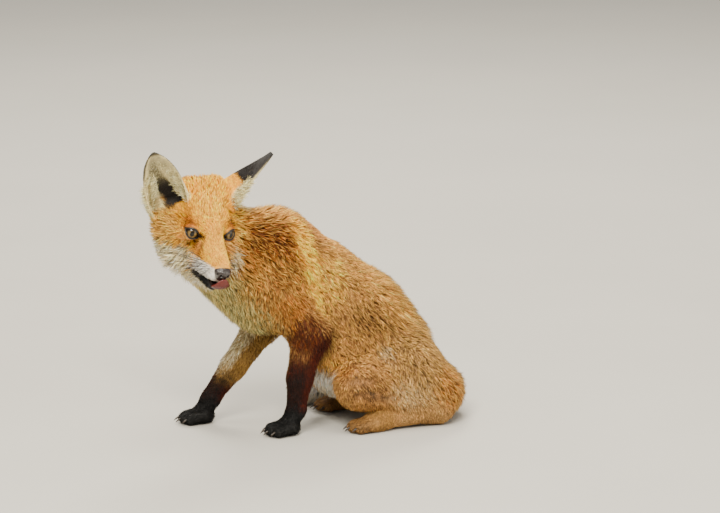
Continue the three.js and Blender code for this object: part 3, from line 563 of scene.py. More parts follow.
def markings(p, distance, feather=0.0):
    """Colour of the coat at points of the skin. distance gives how far each point is from each part.
    feather mixes neighbouring hairs where one marking passes into another."""
    q = to_head(p)
    x, y, z = p.T
    colour = np.empty((len(p), 3))
    colour[:] = PALETTE["flank"]

    def paint(name, amount):
        amount = np.clip(amount, 0, 1)
        amount = np.clip(amount + 1.6 * feather * amount * (1 - amount), 0, 1)
        colour[:] += (PALETTE[name] - colour) * amount[:, None]

    def spot(points, name, amount, centre, radii):
        paint(name, amount * near(points, centre, radii))

    # Body: rusty neck, brown shoulder, a golden band behind it, a warm back and a paler haunch.
    height = z + 0.85 * x
    paint("back", smooth(height, 215, 262) * smooth(x, -40, 10))
    paint("haunch", smooth(x, 50, 110) * smooth(190 - z, 0, 70))
    spot(p, "pale_haunch", 0.7, (104, 0, 58), (60, 130, 40))
    paint("rust", smooth(-x, 20, 70))
    spot(p, "back", 0.9, (-76, 0, 334), (86, 84, 44))
    for s in SIDES:
        spot(p, "deep", 0.55, (-100, s * 54, 296), (52, 60, 34))
        spot(p, "deep", 0.35, (-62, s * 62, 268), (30, 40, 40))
        spot(p, "throat", 0.35, (-100, s * 70, 236), (60, 60, 50))
        band = np.interp(z, (175, 200, 215, 250, 275, 300, 322), (-22, -28, -32, -39, -45, -55, -68))
        half = np.interp(z, (175, 215, 250, 285, 322), (7, 11, 16, 15, 9)) + 3 * waves(p, 30, 9)
        on_band = smooth(1.4 - np.abs(x - band) / half, 0, 1.1) * smooth(z, 165, 200) * smooth(326 - z, 0, 40)
        paint("gold", (0.95 if s == LEFT else 0.6) * on_band * smooth(s * y, 12, 36))
        spot(p, "gold", 0.35, (-6, s * 66, 235), (34, 50, 60))
        spot(p, "gold", 0.55, (-2, s * 74, 104), (34, 40, 24))
        spot(p, "rust", 0.6, (2, s * 74, 98), (30, 40, 22))
        # Painted shade in the creases between flank and thigh: a mottled brown patch and darker marks along
        # each fold.
        spot(p, "brown", 0.6 * np.clip(0.6 + 0.8 * waves(p, 9, 8), 0, 1), (42, s * 90, 68), (38, 34, 26))
        for fold in FOLDS:
            spot(p, "soot", np.clip(0.35 + 0.5 * waves(p, 12, 7), 0, 1), on_side(s, fold), (30, 30, 10))
        spot(p, "brown", 0.3, (64, s * 70, 170), (60, 50, 44))
        spot(p, "rust", 0.6, (176, s * 66, 60), (38, 50, 50))
        spot(p, "cream", 0.45, (74, s * 76, 117), (20, 36, 18))
    # Pale chest, throat and belly.
    under = smooth(-(z + 1.15 * x), -112, -50) * smooth(-x, -20, 60)
    paint("throat", 0.9 * under * smooth(z, 110, 150))
    paint("chest", 0.95 * smooth(-(z + 1.15 * x), -84, -30) * smooth(-x, -20, 60) * smooth(z, 110, 150))
    belly = smooth(92 - z + 0.5 * (58 - np.abs(y)), 0, 22) * smooth(x, -60, -30) * smooth(110 - x, 0, 50)
    paint("white", 0.95 * belly * (distance["body"] < distance["hindlegs"] + 8))
    # Forelegs: dark in front and rusty behind, tan on the inner side of the off leg.
    for s in SIDES:
        leg = FORELEGS[s]
        t = np.clip((leg["elbow"][2] - z) / (leg["elbow"][2] - 30), 0, 1.3)
        heights = [30, leg["knee"][2], leg["elbow"][2]]
        axis_x = np.interp(z, heights, [leg[joint][0] for joint in ("wrist", "knee", "elbow")])
        on_leg = smooth(14 - distance["foreleg"][s], 0, 12) * smooth(leg["elbow"][2] + 12 - z, -14, 22)
        outside = smooth(s * y - abs(leg["knee"][1]), -6, 4)
        front = smooth(axis_x - x, -9, 5)
        paint("shin", on_leg)
        paint("flank", 0.35 * on_leg * (1 - smooth(t, 0.1, 0.45)) * front)
        paint("tan", on_leg * (1 - outside) * smooth(z, 50, 70))
        soot_from, soot_full = (0.2, 0.6) if s == LEFT else (0.5, 0.75)
        paint("soot", on_leg * front * smooth(t, soot_from, soot_full) * 0.85)
        paint("black", on_leg * smooth(60 - z, 0, 26) * (front + (1 - front) * (0.35 if s == LEFT else 0.1)))
        paint("ruff", 0.6 * on_leg * smooth(axis_x - x, 6, 15) * smooth(z, 70, 100) * (s == RIGHT))
        spot(p, "deep", 0.9, (-46, s * 66, 156), (34, 30, 36))
    # Hind legs: tan feet, pale inside the thigh.
    for s in SIDES:
        inside = smooth(52 - s * y, 0, 12) * smooth(s * y, 10, 26)
        paint("white", 0.9 * inside * smooth(92 - z, 0, 22) * smooth(x, -30, -10) * smooth(130 - x, 0, 30))
    paint("tan", 0.7 * smooth(10 - distance["hindpaw"], 0, 8))
    paint("brown", 0.4 * smooth(8 - distance["hindpaw"], 0, 8) * smooth(54 - x, 0, 18))
    forepaw = smooth(9 - distance["forepaw"], 0, 7) * smooth(44 - z, 0, 14)
    paint("black", forepaw)
    # Tail: grizzled, darker above, with a white tip.
    on_tail = smooth(8 - distance["tail"], 0, 10) * smooth(y, 40, 62)
    paint("tail", on_tail)
    paint("soot", 0.4 * on_tail * (0.4 + 0.6 * waves(p, 40, 5)))
    paint("white", on_tail * smooth(66 - x, 0, 24))
    # Head.
    hx, hy, hz = q.T
    ay = np.abs(hy)
    on_head = smooth(10 - distance["head"], 0, 10) * smooth(hx, -104, -84)
    paint("crown", on_head)
    spot(q, "rust", 0.5 * on_head, (-96, 0, 10), (34, 60, 50))
    paint("cheek", on_head * smooth(ay, 34, 46) * smooth(20 - hz, 0, 30))
    spot(q, "straw", 0.2 * on_head, (-24, 0, 26), (34, 34, 30))
    paint("bridge", on_head * smooth(17 - ay, -3, 6) * smooth(hx, -14, 8) * smooth(hz, -30, -16))
    for s in SIDES:
        spot(q, "ring", 0.95, (2, s * 27, -14), (34, 20, 22))
        spot(q, "rust", 0.35, (10, s * 20, -19), (30, 10, 13))
        spot(q, "brown", 0.2, (13, s * 19, -14), (20, 5, 10))
        tear_line = bone(at(10, s * 15, 0), at(21, s * 19.5, -23), 0, 0)(np.float32(q))
        paint("shin", 0.6 * smooth(5.5 - tear_line, 0, 4.5))
        spot(q, "brow", 0.9, (-14, s * 33, 6), (19, 20, 13))
    # White lips, cheeks and throat, below a line from the nose to the ruff.
    line = np.interp(hx, (-70, -36, -13, 0, 27, 41, 60), (-50, -39, -29, -31, -26, -21, -16))
    white = smooth(line - hz, -2 - 3 * smooth(-hx, 0, 30), 3 + 7 * smooth(-hx, 0, 30))
    white = 0.95 * on_head * white * smooth(hx, -78, -44) * smooth(72 - ay, 0, 14)
    paint("ruff", white * smooth(24 - hx, 0, 24))
    paint("white", white * smooth(hx, 4, 26))
    paint("ruff", 0.85 * smooth(-44 - hz, 0, 12) * smooth(hx, -70, -40) * smooth(8 - distance["head"], 0, 6))
    paint("throat", 0.35 * smooth(-54 - hz, 0, 14) * on_head * smooth(6 - hx, 0, 40))
    spot(q, "ruff", 0.75, (19, 42, -27), (30, 17, 26))
    # Dark lip line, the mouth's inside, nostril rim and the inner corners of the eyes.
    gap = mouth(np.float32(q))
    reach = 1.6 + 6.4 * (hz < -46.5) * smooth(hx, 12, 34)
    on_lips = smooth(reach + 0.6 - gap, 0, 1.4) * smooth(hx, 8, 14) * smooth(30 - ay, 0, 2)
    paint("lips", on_lips * (distance["head"] < 6))
    paint("lips", smooth(9 - np.linalg.norm(q - at(66, 0, -22), axis=1), -5, 0) * smooth(hx, 50, 60))
    for s in SIDES:
        wide, up, out = eye_axes(s)
        e = q - on_side(s, EYE["centre"])
        u, v, w = e @ wide, e @ up, e @ out
        almond = outside_almond(u, v)
        paint("lips", smooth(2.2 - almond, 0, 2.0) * smooth(w, 2, 6) * (np.abs(u) < 17))
        spot(q, "lips", 1, on_side(s, (5, 18.5, -3)), (10, 6.5, 8))
        spot(q, "lips", 0.8, on_side(s, (-20, 38, 3)), (9, 9, 2.5))
    # Ears: black backs on a golden base, pale rims low down, and pale inside with a dark middle.
    for name, ear in EARS.items():
        s = RIGHT if name == "left" else LEFT
        spot(q, "earin", 0.9, (-66, s * 64, -1), (17, 26, 16))
        spot(q, "eardark", 0.9, (-61, s * 46, 6), (13, 13, 11))
        away, h, across, inward = ear_place(ear, np.float32(q))
        on_ear = smooth(6 - away, 0, 2) * smooth(h, 0.1, 0.2)
        inner = smooth(inward, -0.3, 0.5)
        rim = np.abs(across)
        paint("crown", 0.9 * on_ear * (1 - inner))
        paint("earback", on_ear * (1 - inner) * smooth(h + 0.03 * waves(p, 14, 4), 0.36, 0.44))
        paint("earin", on_ear * inner)
        paint("earback", 0.4 * on_ear * inner * smooth(h, 0.4, 0.8) * smooth(0.9 - rim, 0, 0.5))
        edge = np.interp(h, (0.3, 0.5, 0.8, 1), (0.66, 0.9, 0.96, 0.98))
        if name == "right":
            low = smooth(0.62 - h, 0, 0.2)
        else:
            low = smooth(-across, 0.2, 0.5) * smooth(0.98 - h, 0, 0.15)
        paint("earin", 0.95 * on_ear * (1 - inner) * smooth(rim - edge, 0, 0.1) * low)
        if name == "left":
            within_rim = smooth(edge - rim, -0.06, 0) * smooth(rim, 0.6, 0.7)
            paint("earback", on_ear * inner * smooth(h, 0.42, 0.5) * within_rim)
        middle = np.abs(across - np.interp(h, (0.1, 0.3, 0.5, 0.8), (0.25, 0.0, -0.25, -0.4)))
        dark = smooth(0.5 - 0.1 * h - middle, 0, 0.24) * (1 - 0.6 * smooth(h, 0.6, 0.9))
        dark *= smooth(0.98 - h, 0, 0.12)
        paint("eardark", smooth(14 - away, 0, 5) * smooth(inward, 0.2, 2) * dark)
        paint("black", 0.9 * on_ear * smooth(h, 0.93, 0.99))
        paint("black", 0.8 * on_ear * smooth(-across, 0.86, 0.94) * smooth(h, 0.55, 0.65) * (name == "right"))
    patches = 1 + 0.10 * waves(p, 46, 1)[:, None] + 0.07 * waves(p, 17, 2)[:, None]
    return colour * patches


outer, outer_parts = fox(0)
fore_fields = {s: foreleg_field(s, 0) for s in SIDES}
paw_fields = [(kind, paw_field(root, size, turn, 0)) for kind, _, root, size, turn in PAWS]


def distances(p):
    """How far points are from the outer surface of the parts that carry their own markings."""
    return {
        "foreleg": {s: spread(fore_fields[s], p) for s in SIDES},
        "forepaw": np.min([spread(f, p) for kind, f in paw_fields if kind == "forepaw"], 0),
        "hindpaw": np.min([spread(f, p) for kind, f in paw_fields if kind == "hindpaw"], 0),
        "head": spread(outer_parts["head"], p),
        "ears": spread(outer_parts["ears"], p),
        "tail": spread(outer_parts["tail"], p),
        "body": spread(outer_parts["body"], p),
        "hindlegs": spread(outer_parts["hindlegs"], p)}


# ---------------------------------------------------------------- materials

def node_material(name, roughness, noise_scale, variation, bump=0.0, bump_scale=600, colour=None, **direct):
    """A procedural surface: one hue or, without one, the markings, broken up by noise, with a fine relief."""
    material = bpy.data.materials.new(name)
    material.use_nodes = True
    nodes, link = material.node_tree.nodes, material.node_tree.links.new
    shader = nodes["Principled BSDF"]

    def connect(node, **inputs):
        """Sets inputs to values, or links them to other nodes' outputs."""
        for socket, value in inputs.items():
            target = node.inputs[socket.replace("_", " ")]
            if isinstance(value, bpy.types.NodeSocket):
                link(value, target)
            else:
                target.default_value = value
        return node

    place = nodes.new("ShaderNodeTexCoord").outputs["Object"]
    noise = connect(nodes.new("ShaderNodeTexNoise"), Scale=noise_scale, Detail=4, Vector=place)
    ramp = connect(nodes.new("ShaderNodeMapRange"), From_Min=0.3, From_Max=0.7, To_Min=1 - variation,
                   To_Max=1 + variation, Value=noise.outputs["Fac"])
    scale = nodes.new("ShaderNodeVectorMath")
    scale.operation = "SCALE"
    if colour is None:
        marks = nodes.new("ShaderNodeAttribute")
        marks.attribute_name = "Mark"
        colour = marks.outputs["Color"]
    connect(scale, Vector=colour, Scale=ramp.outputs["Result"])
    connect(shader, Base_Color=scale.outputs["Vector"], Roughness=roughness, **direct)
    if bump:
        relief = connect(nodes.new("ShaderNodeTexNoise"), Scale=bump_scale, Detail=3, Vector=place)
        lift = connect(nodes.new("ShaderNodeBump"), Strength=bump, Distance=0.001,
                       Height=relief.outputs["Fac"])
        connect(shader, Normal=lift.outputs["Normal"])
    return material


skin_material = node_material("skin", 0.8, 260, 0.22, bump=0.5, bump_scale=700)
coat_material = node_material("coat", 0.6, 420, 0.16, Specular_IOR_Level=0.22)
eye_material = node_material("eye", 0.3, 900, 0.12, Specular_IOR_Level=0.1,
                             Coat_Weight=0.6, Coat_Roughness=0.02)
lid_material = node_material("lid", 0.3, 900, 0.3, bump=0.25, bump_scale=1800, colour=(0.008, 0.006, 0.005))
nose_material = node_material("nose_leather", 0.2, 700, 0.25, bump=0.35, bump_scale=1500,
                              Coat_Weight=0.5, Coat_Roughness=0.12)
tongue_material = node_material("tongue_flesh", 0.22, 500, 0.14, bump=0.4, bump_scale=1700,
                                Subsurface_Weight=0.15, Subsurface_Scale=0.004)
claw_material = node_material("horn", 0.38, 350, 0.4, colour=(0.032, 0.022, 0.016))
whisker_material = node_material("whisker", 0.4, 300, 0.4, colour=(0.030, 0.022, 0.018))


# ---------------------------------------------------------------- skin

skin_field, _ = fox(1)
fine, wide_step = ((1.6, 5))
# The bounds of the fox, and between them those of the head, where the grid is fine.
axes = [grid_axis(-306, 230, -298, -84, fine, wide_step), grid_axis(-142, 196, -136, 34, fine, wide_step),
        grid_axis(-4, 452, 226, 446, fine, wide_step)]
skin_points, skin_quads = surface_nets(skin_field, axes)
skin_distance = distances(skin_points)
skin_colour = markings(skin_points, skin_distance)

FLESH = [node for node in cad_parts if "claw" not in node and not node.startswith("eye")
         and node not in ("nose", "tongue")]
# The skin carries the coat's markings at 0.8 of their brightness, for the darker undercoat and as painted
# shade deep in the coat between the tufts.
skin = make_object("skin", skin_points, skin_quads, skin_material, skin_colour * 0.8, replaces=FLESH)

bpy.context.view_layer.objects.active = skin
skin.select_set(True)
bpy.ops.object.mode_set(mode="EDIT")
bpy.ops.mesh.select_all(action="SELECT")
bpy.ops.uv.smart_project(angle_limit=1.15, island_margin=0.002)
bpy.ops.object.mode_set(mode="OBJECT")
skin.select_set(False)
skin.data.uv_layers[0].name = "OFBake"
skin_uv = np.empty(skin_quads.size * 2, np.float32)
skin.data.uv_layers[0].data.foreach_get("uv", skin_uv)
skin_uv = skin_uv.reshape(-1, 4, 2)


# ---------------------------------------------------------------- lie of the coat

def head_to_tail(joints):
    """Bones of a curved limb with the way its hair lies, from the first joint to the last."""
    return [(a, b, (ra + rb) / 2, unit(b - a)) for a, b, ra, rb in links(joints, 0)]


LIES = head_to_tail(SPINE)
LIES += [(a, b, r, -way) for a, b, r, way in head_to_tail(NAPE)]
LIES += [(a, b, r, unit(-way + at(0.2, 0, -0.5))) for a, b, r, way in head_to_tail(THROAT)]
LIES += head_to_tail(TAIL)
LIES += [(at(-82, 0, 150), at(-82, 0, 240), 46, unit(at(0.55, 0, -1)))]
for side in SIDES:
    leg = FORELEGS[side]
    LIES += [(leg["shoulder"], leg["elbow"], 36, unit(at(0.35, 0, -1))),
             (leg["elbow"], leg["knee"], 22, unit(leg["knee"] - leg["elbow"])),
             (leg["knee"], leg["wrist"], 17, unit(leg["wrist"] - leg["knee"]))]
    hip, seat, knee, hock = (on_side(side, HINDLEG[joint]) for joint in ("hip", "seat", "knee", "hock"))
    toe = on_side(side, HINDPAW["ball"])
    LIES += [(hip, knee, 44, unit(at(0.28, 0, -1))), (seat, hip, 46, unit(at(0.35, 0, -1))),
             (knee, hock, 25, unit(hock - knee + at(0, 0, -30))), (hock, toe, 14, unit(toe - hock))]
for _, _, root, size, turn in PAWS:
    way = -paw_axes(turn)[0]
    heel = at(root[0], root[1], 14)
    LIES += [(heel, heel + size["reach"] * way, 12, unit(way + at(0, 0, -0.35)))]


def lie_of_coat(p, normal, distance):
    """Unit directions along the skin in which the hair lies."""
    flow = np.zeros((len(p), 3))
    for a, b, radius, way in LIES:
        d = bone(a, b, radius, radius)(np.float32(p))
        flow += np.exp(-(np.maximum(d + 6, 0) / 13) ** 2)[:, None] * way
    flow = unit(flow)
    flow[:, 2] -= 0.8 * smooth(np.abs(p[:, 1]), 24, 52)
    q = to_head(p)
    away = unit(q - at(74, 0, -16))
    away += smooth(np.abs(q[:, 1]), 22, 44)[:, None] * at(-0.1, 0, -0.55)
    away[:, 2] += 0.35 * smooth(q[:, 2], -4, 12) * smooth(-q[:, 0], 10, 40)
    on_head = smooth(16 - distance["head"], 0, 14) * smooth(14 + distance["body"], 0, 18)
    flow += (unit(away) @ HEAD_AXES - flow) * on_head[:, None]
    for ear in EARS.values():
        up, _, wide = ear_axes(ear)
        gap, h, across, inward = ear_place(ear, np.float32(q))
        on_ear = smooth(7 - gap, 0, 3) * smooth(h, 0.12, 0.25)
        inner = smooth(inward, -0.2, 0.4)
        to_middle = -0.9 * np.sign(across) * smooth(np.abs(across), 0.1, 0.7)
        along = up + inner[:, None] * to_middle[:, None] * wide
        flow += (unit(along) @ HEAD_AXES - flow) * on_ear[:, None]
    flow -= (flow * normal).sum(1, keepdims=True) * normal
    flow = unit(flow)
    side = np.cross(normal, flow)
    drift = 0.22 * waves(p, 34, 21) + 0.10 * rng.normal(size=len(p))
    return unit(flow * np.cos(drift)[:, None] + side * np.sin(drift)[:, None])


# ---------------------------------------------------------------- coat

def bare(p):
    """0 on the nose, lids, inside the mouth and under the feet, 1 where hair grows."""
    q = np.float32(to_head(p))
    far_from_lips = (q[:, 0] < 8) | (np.abs(q[:, 1]) > 27) | (q[:, 2] < -75) | (q[:, 2] > -30)
    grows = np.where(far_from_lips, 1, smooth(mouth(q), 0.2, 1.4))
    from_nose = (q - np.float32((63, 0, -21))) / np.float32((1, 1.2, 1))
    grows *= smooth(np.linalg.norm(from_nose, axis=1), 11.5, 13)
    grows *= 1 - (q[:, 0] > 52) * (np.abs(q[:, 1] + 3) < 14) * (q[:, 2] < -28)
    for s in SIDES:
        wide, up, out = eye_axes(s)
        e = q - np.float32(on_side(s, EYE["centre"]))
        almond = outside_almond(e @ wide, e @ up)
        on_lid = (e @ out > 0) & (np.linalg.norm(e, axis=1) < 17)
        grows *= np.where(on_lid, smooth(almond, 1.2, 2.2), 1)
    return grows * smooth(p[:, 2], 1.5, 3)


corner = skin_points[skin_quads]
area = 0.5 * np.linalg.norm(np.cross(corner[:, 2] - corner[:, 0], corner[:, 3] - corner[:, 1]), axis=1)
middle = corner.mean(1)
depth_at = -spread(outer, middle)
quad_distance = distances(middle)


def tuft_length(depth):
    return 2.4 + 1.6 * np.clip(depth, 0.8, 24)


def tuft_width(length):
    return 0.45 + 0.042 * length


length = tuft_length(depth_at)
# Layers of tufts wanted over each part. All are then thinned to the number of tufts that there is room for.
COVER = dict(body=3.6, head=2.0, ears=1.1, tail=6.5, forelegs=2.4, paws=1.4)
head_share = smooth(8 - quad_distance["head"], 0, 8)
cover = COVER["body"] + (COVER["head"] - COVER["body"]) * head_share
cover = np.where(quad_distance["ears"] < 2, COVER["ears"], cover)
cover = np.where(quad_distance["tail"] < quad_distance["body"] - 4, COVER["tail"], cover)
cover = np.where(np.minimum(*quad_distance["foreleg"].values()) < -0.5, COVER["forelegs"], cover)
cover = np.where(np.minimum(quad_distance["forepaw"], quad_distance["hindpaw"]) < 0.5, COVER["paws"], cover)
wanted = area * bare(middle) * cover / (0.36 * tuft_width(length) * length)
TUFTS = 146000
LOCK_TUFTS = 2.6
PIECE_TUFTS = 19500
chance = np.cumsum(wanted) / wanted.sum()
# Evenly spaced draws along the running sum keep the tufts from bunching.
pick = np.searchsorted(chance, (np.arange(TUFTS) + rng.random(TUFTS)) / TUFTS)
pick = np.minimum(pick, len(chance) - 1)
s, t = rng.random(TUFTS), rng.random(TUFTS)
weights = np.stack([(1 - s) * (1 - t), s * (1 - t), s * t, (1 - s) * t], 1)[:, :, None]
root = (corner[pick] * weights).sum(1)
root_uv = (skin_uv[pick] * weights).sum(1)
normal = unit(gradient(skin_field, root))
distance = distances(root)
root_head = to_head(root)
lift = 10.5 * near(root, (112, 0, 188), (88, 84, 90)) + 6 * near(root, (196, 0, 48), (44, 90, 44))
lift += 5 * near(root, (-84, 0, 334), (46, 60, 30)) - 7 * near(root, (-12, 0, 299), (48, 60, 34))
lift += 7 * near(root_head, (6, -30, -64), (38, 30, 28))
for side in SIDES:
    for fold in FOLDS:
        lift -= 6 * near(root, on_side(side, fold), (30, 30, 8))
depth = np.clip(lift - spread(outer, root), 0.6, 26)
length = tuft_length(depth) * rng.uniform(0.75, 1.2, TUFTS)
width = tuft_width(length) * rng.uniform(0.8, 1.25, TUFTS)

# Long pale hair inside the ears and along their front rims, and finer, flatter hair on the tail.
long_hair = np.zeros(TUFTS)
long_way = np.zeros((TUFTS, 3))
for ear in EARS.values():
    up, front, wide = ear_axes(ear)
    gap, h, across, inward = ear_place(ear, np.float32(root_head))
    within = (gap < 5) * smooth(inward, 0, 0.6) * smooth(h, 0.1, 0.2)
    within = within * smooth(0.7 - h, 0, 0.35) * smooth(np.abs(across), 0.24, 0.46)
    fringe = (gap < 5) * smooth(-across, 0.66, 0.8) * smooth(h, 0.02, 0.1) * smooth(0.56 - h, 0, 0.25)
    fringe *= 1 if ear is EARS["left"] else 0.35
    way = up[None] * 0.8 + front * 0.25 - (np.sign(across) * 0.75)[:, None] * wide
    long_way += (within * (fringe < 0.1))[:, None] * unit(way)
    long_way += (fringe >= 0.1)[:, None] * unit(up * 0.5 - wide + front * 0.2)
    long_hair = np.maximum(long_hair, np.maximum(within, 0.8 * fringe) * (rng.random(TUFTS) < 0.55))
long_hair *= rng.uniform(0.5, 1.1, TUFTS)
long_way = unit(unit(long_way @ HEAD_AXES) + 0.22 * rng.normal(size=(TUFTS, 3)))
is_long = long_hair > 0.1
length = np.where(is_long, 3 + 11 * long_hair, length)
width = np.where(is_long, 0.8, width)
on_tail = distance["tail"] < np.minimum(distance["body"], distance["hindlegs"]) - 2
width = np.where(on_tail, 0.62 * width, width)

# Fringes that stand out from the outline.
stand = 3.0 * near(root, (-36, 0, 290), (60, 60, 30))
for side in SIDES:
    stand += 4 * near(root_head, (-46, side * 56, -36), (44, 26, 50))
stand += 4 * near(root, (-150, -20, 216), (60, 60, 50))

# Locks: neighbouring tips are drawn together, and each lock leans its own way.
centre = rng.choice(TUFTS, int(TUFTS / LOCK_TUFTS), replace=False)
tree = kdtree.KDTree(len(centre))
for number, index in enumerate(centre):
    tree.insert(root[index], number)
tree.balance()
lock = centre[np.array([tree.find(Vector(point))[1] for point in root])]
flow = lie_of_coat(root, normal, distance)
lean = (0.32 * rng.normal(size=TUFTS)[lock] + 0.1 * rng.normal(size=TUFTS)) * np.minimum(1, depth / 7)
lean *= np.where(on_tail, 0.35, 1)
flow = flow * np.cos(lean)[:, None] + np.cross(normal, flow) * np.sin(lean)[:, None]

reach = np.sqrt(np.maximum(length ** 2 - depth ** 2, (0.5 * length) ** 2))
tip = root + flow * reach[:, None] + normal * depth[:, None]
middle = root + flow * (0.48 * reach)[:, None] + normal * (0.62 * depth)[:, None]
gather = 0.5 * rng.random(TUFTS)[:, None] + 0.3
tip += (tip[lock] - tip) * gather
middle += (middle[lock] - middle) * gather * 0.4
unevenness = 0.4 * rng.normal(size=TUFTS)[lock] - 0.3 * np.abs(rng.normal(size=TUFTS))
rise = np.sqrt(np.minimum(depth, 10)) * np.where(on_tail, 0.5, 1) * unevenness
for point, level in ((tip, rise + lift + stand * rng.random(TUFTS)),
                     (middle, -0.36 * depth + 0.8 * lift + 0.5 * stand * rng.random(TUFTS))):
    for _ in range(2):
        slope = gradient(outer, point, 0.6)
        move = (level - spread(outer, point))[:, None] * slope / np.maximum((slope ** 2).sum(1), 0.4)[:, None]
        size = np.linalg.norm(move, axis=1, keepdims=True)
        point += move * np.minimum(1, (0.5 * length)[:, None] / (size + 1e-6))
    point[:, 2] = np.maximum(point[:, 2], 0.8)
tip[is_long] = (root + long_way * length[:, None])[is_long]
middle[is_long] = (root + (0.5 * long_way + 0.12 * normal) * length[:, None])[is_long]

# Seven points a tuft: a ring at the root, a ring half way and the tip.
growth = unit(middle - root)
across = unit(np.cross(growth, normal))
thick = np.cross(across, growth)
points = np.empty((TUFTS, 7, 3))
for k in range(3):
    turn = 2 * np.pi * k / 3 + np.pi / 2
    ring = across * (np.cos(turn) * width / 2)[:, None] + thick * (np.sin(turn) * width / 3)[:, None]
    points[:, k] = root - 0.5 * normal + 0.8 * ring
    points[:, 3 + k] = middle + 0.85 * ring
points[:, 6] = tip
points[:, :, 2] = np.maximum(points[:, :, 2], 0.35)
TRIANGLES = [(0, 2, 1)]
PATCH = [((0, 0), (1, 0), (0.5, 0.04))]
for k in range(3):
    n = (k + 1) % 3
    TRIANGLES += [(k, n, 3 + n), (k, 3 + n, 3 + k), (3 + k, 3 + n, 6)]
    low, high, half = k / 3, (k + 1) / 3, (k + 0.5) / 3
    PATCH += [((low, 0.05), (high, 0.05), (high, 0.5)), ((low, 0.05), (high, 0.5), (low, 0.5)),
              ((low, 0.5), (high, 0.5), (half, 1))]
TRIANGLES, PATCH = np.array(TRIANGLES), (np.array(PATCH) - 0.5) * 0.003

base_colour = markings(root, distance, rng.normal(size=TUFTS))
base_colour[is_long] = PALETTE["earin"]
shade = np.exp(0.32 * rng.normal(size=(TUFTS, 1)) + 0.2 * rng.normal(size=TUFTS)[lock][:, None])
banding_and_shade = np.minimum(1, depth / 9)[:, None] * (1 - 0.3 * smooth(10 - distance["head"], 0, 10))[:, None]
kind = rng.random((TUFTS, 1))
pale_tip = (kind < 0.45) * banding_and_shade
dark_tip = (kind > 0.68) * banding_and_shade * (base_colour[:, :1] < 0.9)
pale_tip = pale_tip * smooth(base_colour[:, :1], 0.04, 0.3)
base_colour *= np.clip(shade, 0.4, 2.2) * (1 - 0.4 * dark_tip)
# Each tuft darkens towards its root and lightens towards its tip: partly the hair's own banding, partly
# painted shade deep in the coat and painted light on the tips.
tip_colour = base_colour * (1.4 - 0.8 * dark_tip)
tip_colour += (0.35 + 0.55 * rng.random((TUFTS, 1))) * pale_tip * (PALETTE["straw"] * 1.15 - tip_colour)
root_colour = base_colour * (0.3 + 0.45 * (1 - banding_and_shade))
base_colour += 0.45 * pale_tip * (tip_colour - base_colour)
base_colour *= 0.9
colour = np.empty((TUFTS, 7, 3))
colour[:, :3] = root_colour[:, None]
colour[:, 3:6] = base_colour[:, None]
colour[:, 6] = tip_colour
colour = np.clip(colour, 0.003, 0.98)

zones = {
    "ears": distance["ears"] < 2.5,
    "paws": np.minimum(distance["forepaw"], distance["hindpaw"]) < 0.5,
    "face": (distance["head"] < 2) & (root_head[:, 0] > -40),
    "head": (distance["head"] < 2) & (root_head[:, 0] <= -40),
    "tail": on_tail,
    "forelegs": np.minimum(*distance["foreleg"].values()) < 1.5,
    "haunches": distance["hindlegs"] < distance["body"],
    "body": np.ones(TUFTS, bool)}
free = np.ones(TUFTS, bool)
for zone, inside in zones.items():
    members = np.nonzero(free & inside)[0]
    free[members] = False
    slot = "dark_coat" if zone == "paws" else "coat"
    groups = [(zone, slot, members)]
    if zone == "tail":
        white = root[members, 0] < 52
        groups = [("tail", "coat", members[~white]), ("tail_tip", "pale_coat", members[white])]
    for name, slot, group in groups:
        group = group[np.argsort(root[group, 0])]
        for number, share in enumerate(np.array_split(group, len(group) // PIECE_TUFTS + 1)):
            n = len(share)
            faces = (TRIANGLES[None] + 7 * np.arange(n)[:, None, None]).reshape(-1, 3)
            patch = (root_uv[share][:, None, None, :] + PATCH[None]).reshape(-1, 2)
            make_object(f"coat_{name}_{number + 1}", points[share].reshape(-1, 3), faces, coat_material,
                        colour[share].reshape(-1, 3), patch)


# ---------------------------------------------------------------- eyes, lids, nose, tongue, claws, whiskers

def tube(path, wide, high, up, sides=10, section=None):
    """A closed tube of triangles along a path, with its widths along it."""
    n = len(path)
    along = unit(np.gradient(path, axis=0))
    across = unit(np.cross(along, up))
    over = np.cross(across, along)
    angle = 2 * np.pi * np.arange(sides) / sides
    section = section or (lambda a: (np.cos(a), np.sin(a)))
    u, v = section(angle)
    rings = path[:, None] + across[:, None] * np.outer(wide, u)[:, :, None]
    rings = rings + over[:, None] * np.outer(high, v)[:, :, None]
    points = np.concatenate([rings.reshape(-1, 3), path[:1], path[-1:]])
    faces = []
    for i in range(n - 1):
        for j in range(sides):
            k = (j + 1) % sides
            a, b, c, d = i * sides + j, i * sides + k, (i + 1) * sides + k, (i + 1) * sides + j
            faces += [(a, b, c), (a, c, d)]
    for j in range(sides):
        k = (j + 1) % sides
        faces += [(n * sides, k, j), (n * sides + 1, (n - 1) * sides + j, (n - 1) * sides + k)]
    return points, np.array(faces)


def join(pieces):
    points, faces, count = [], [], 0
    for p, f in pieces:
        points.append(p)
        faces.append(f + count)
        count += len(p)
    return np.concatenate(points), np.concatenate(faces)


def outward(points, faces):
    """Turns faces so that the closed mesh faces out."""
    a, b, c = (points[faces[:, k]] for k in range(3))
    return faces if (a * np.cross(b, c)).sum() > 0 else faces[:, ::-1]


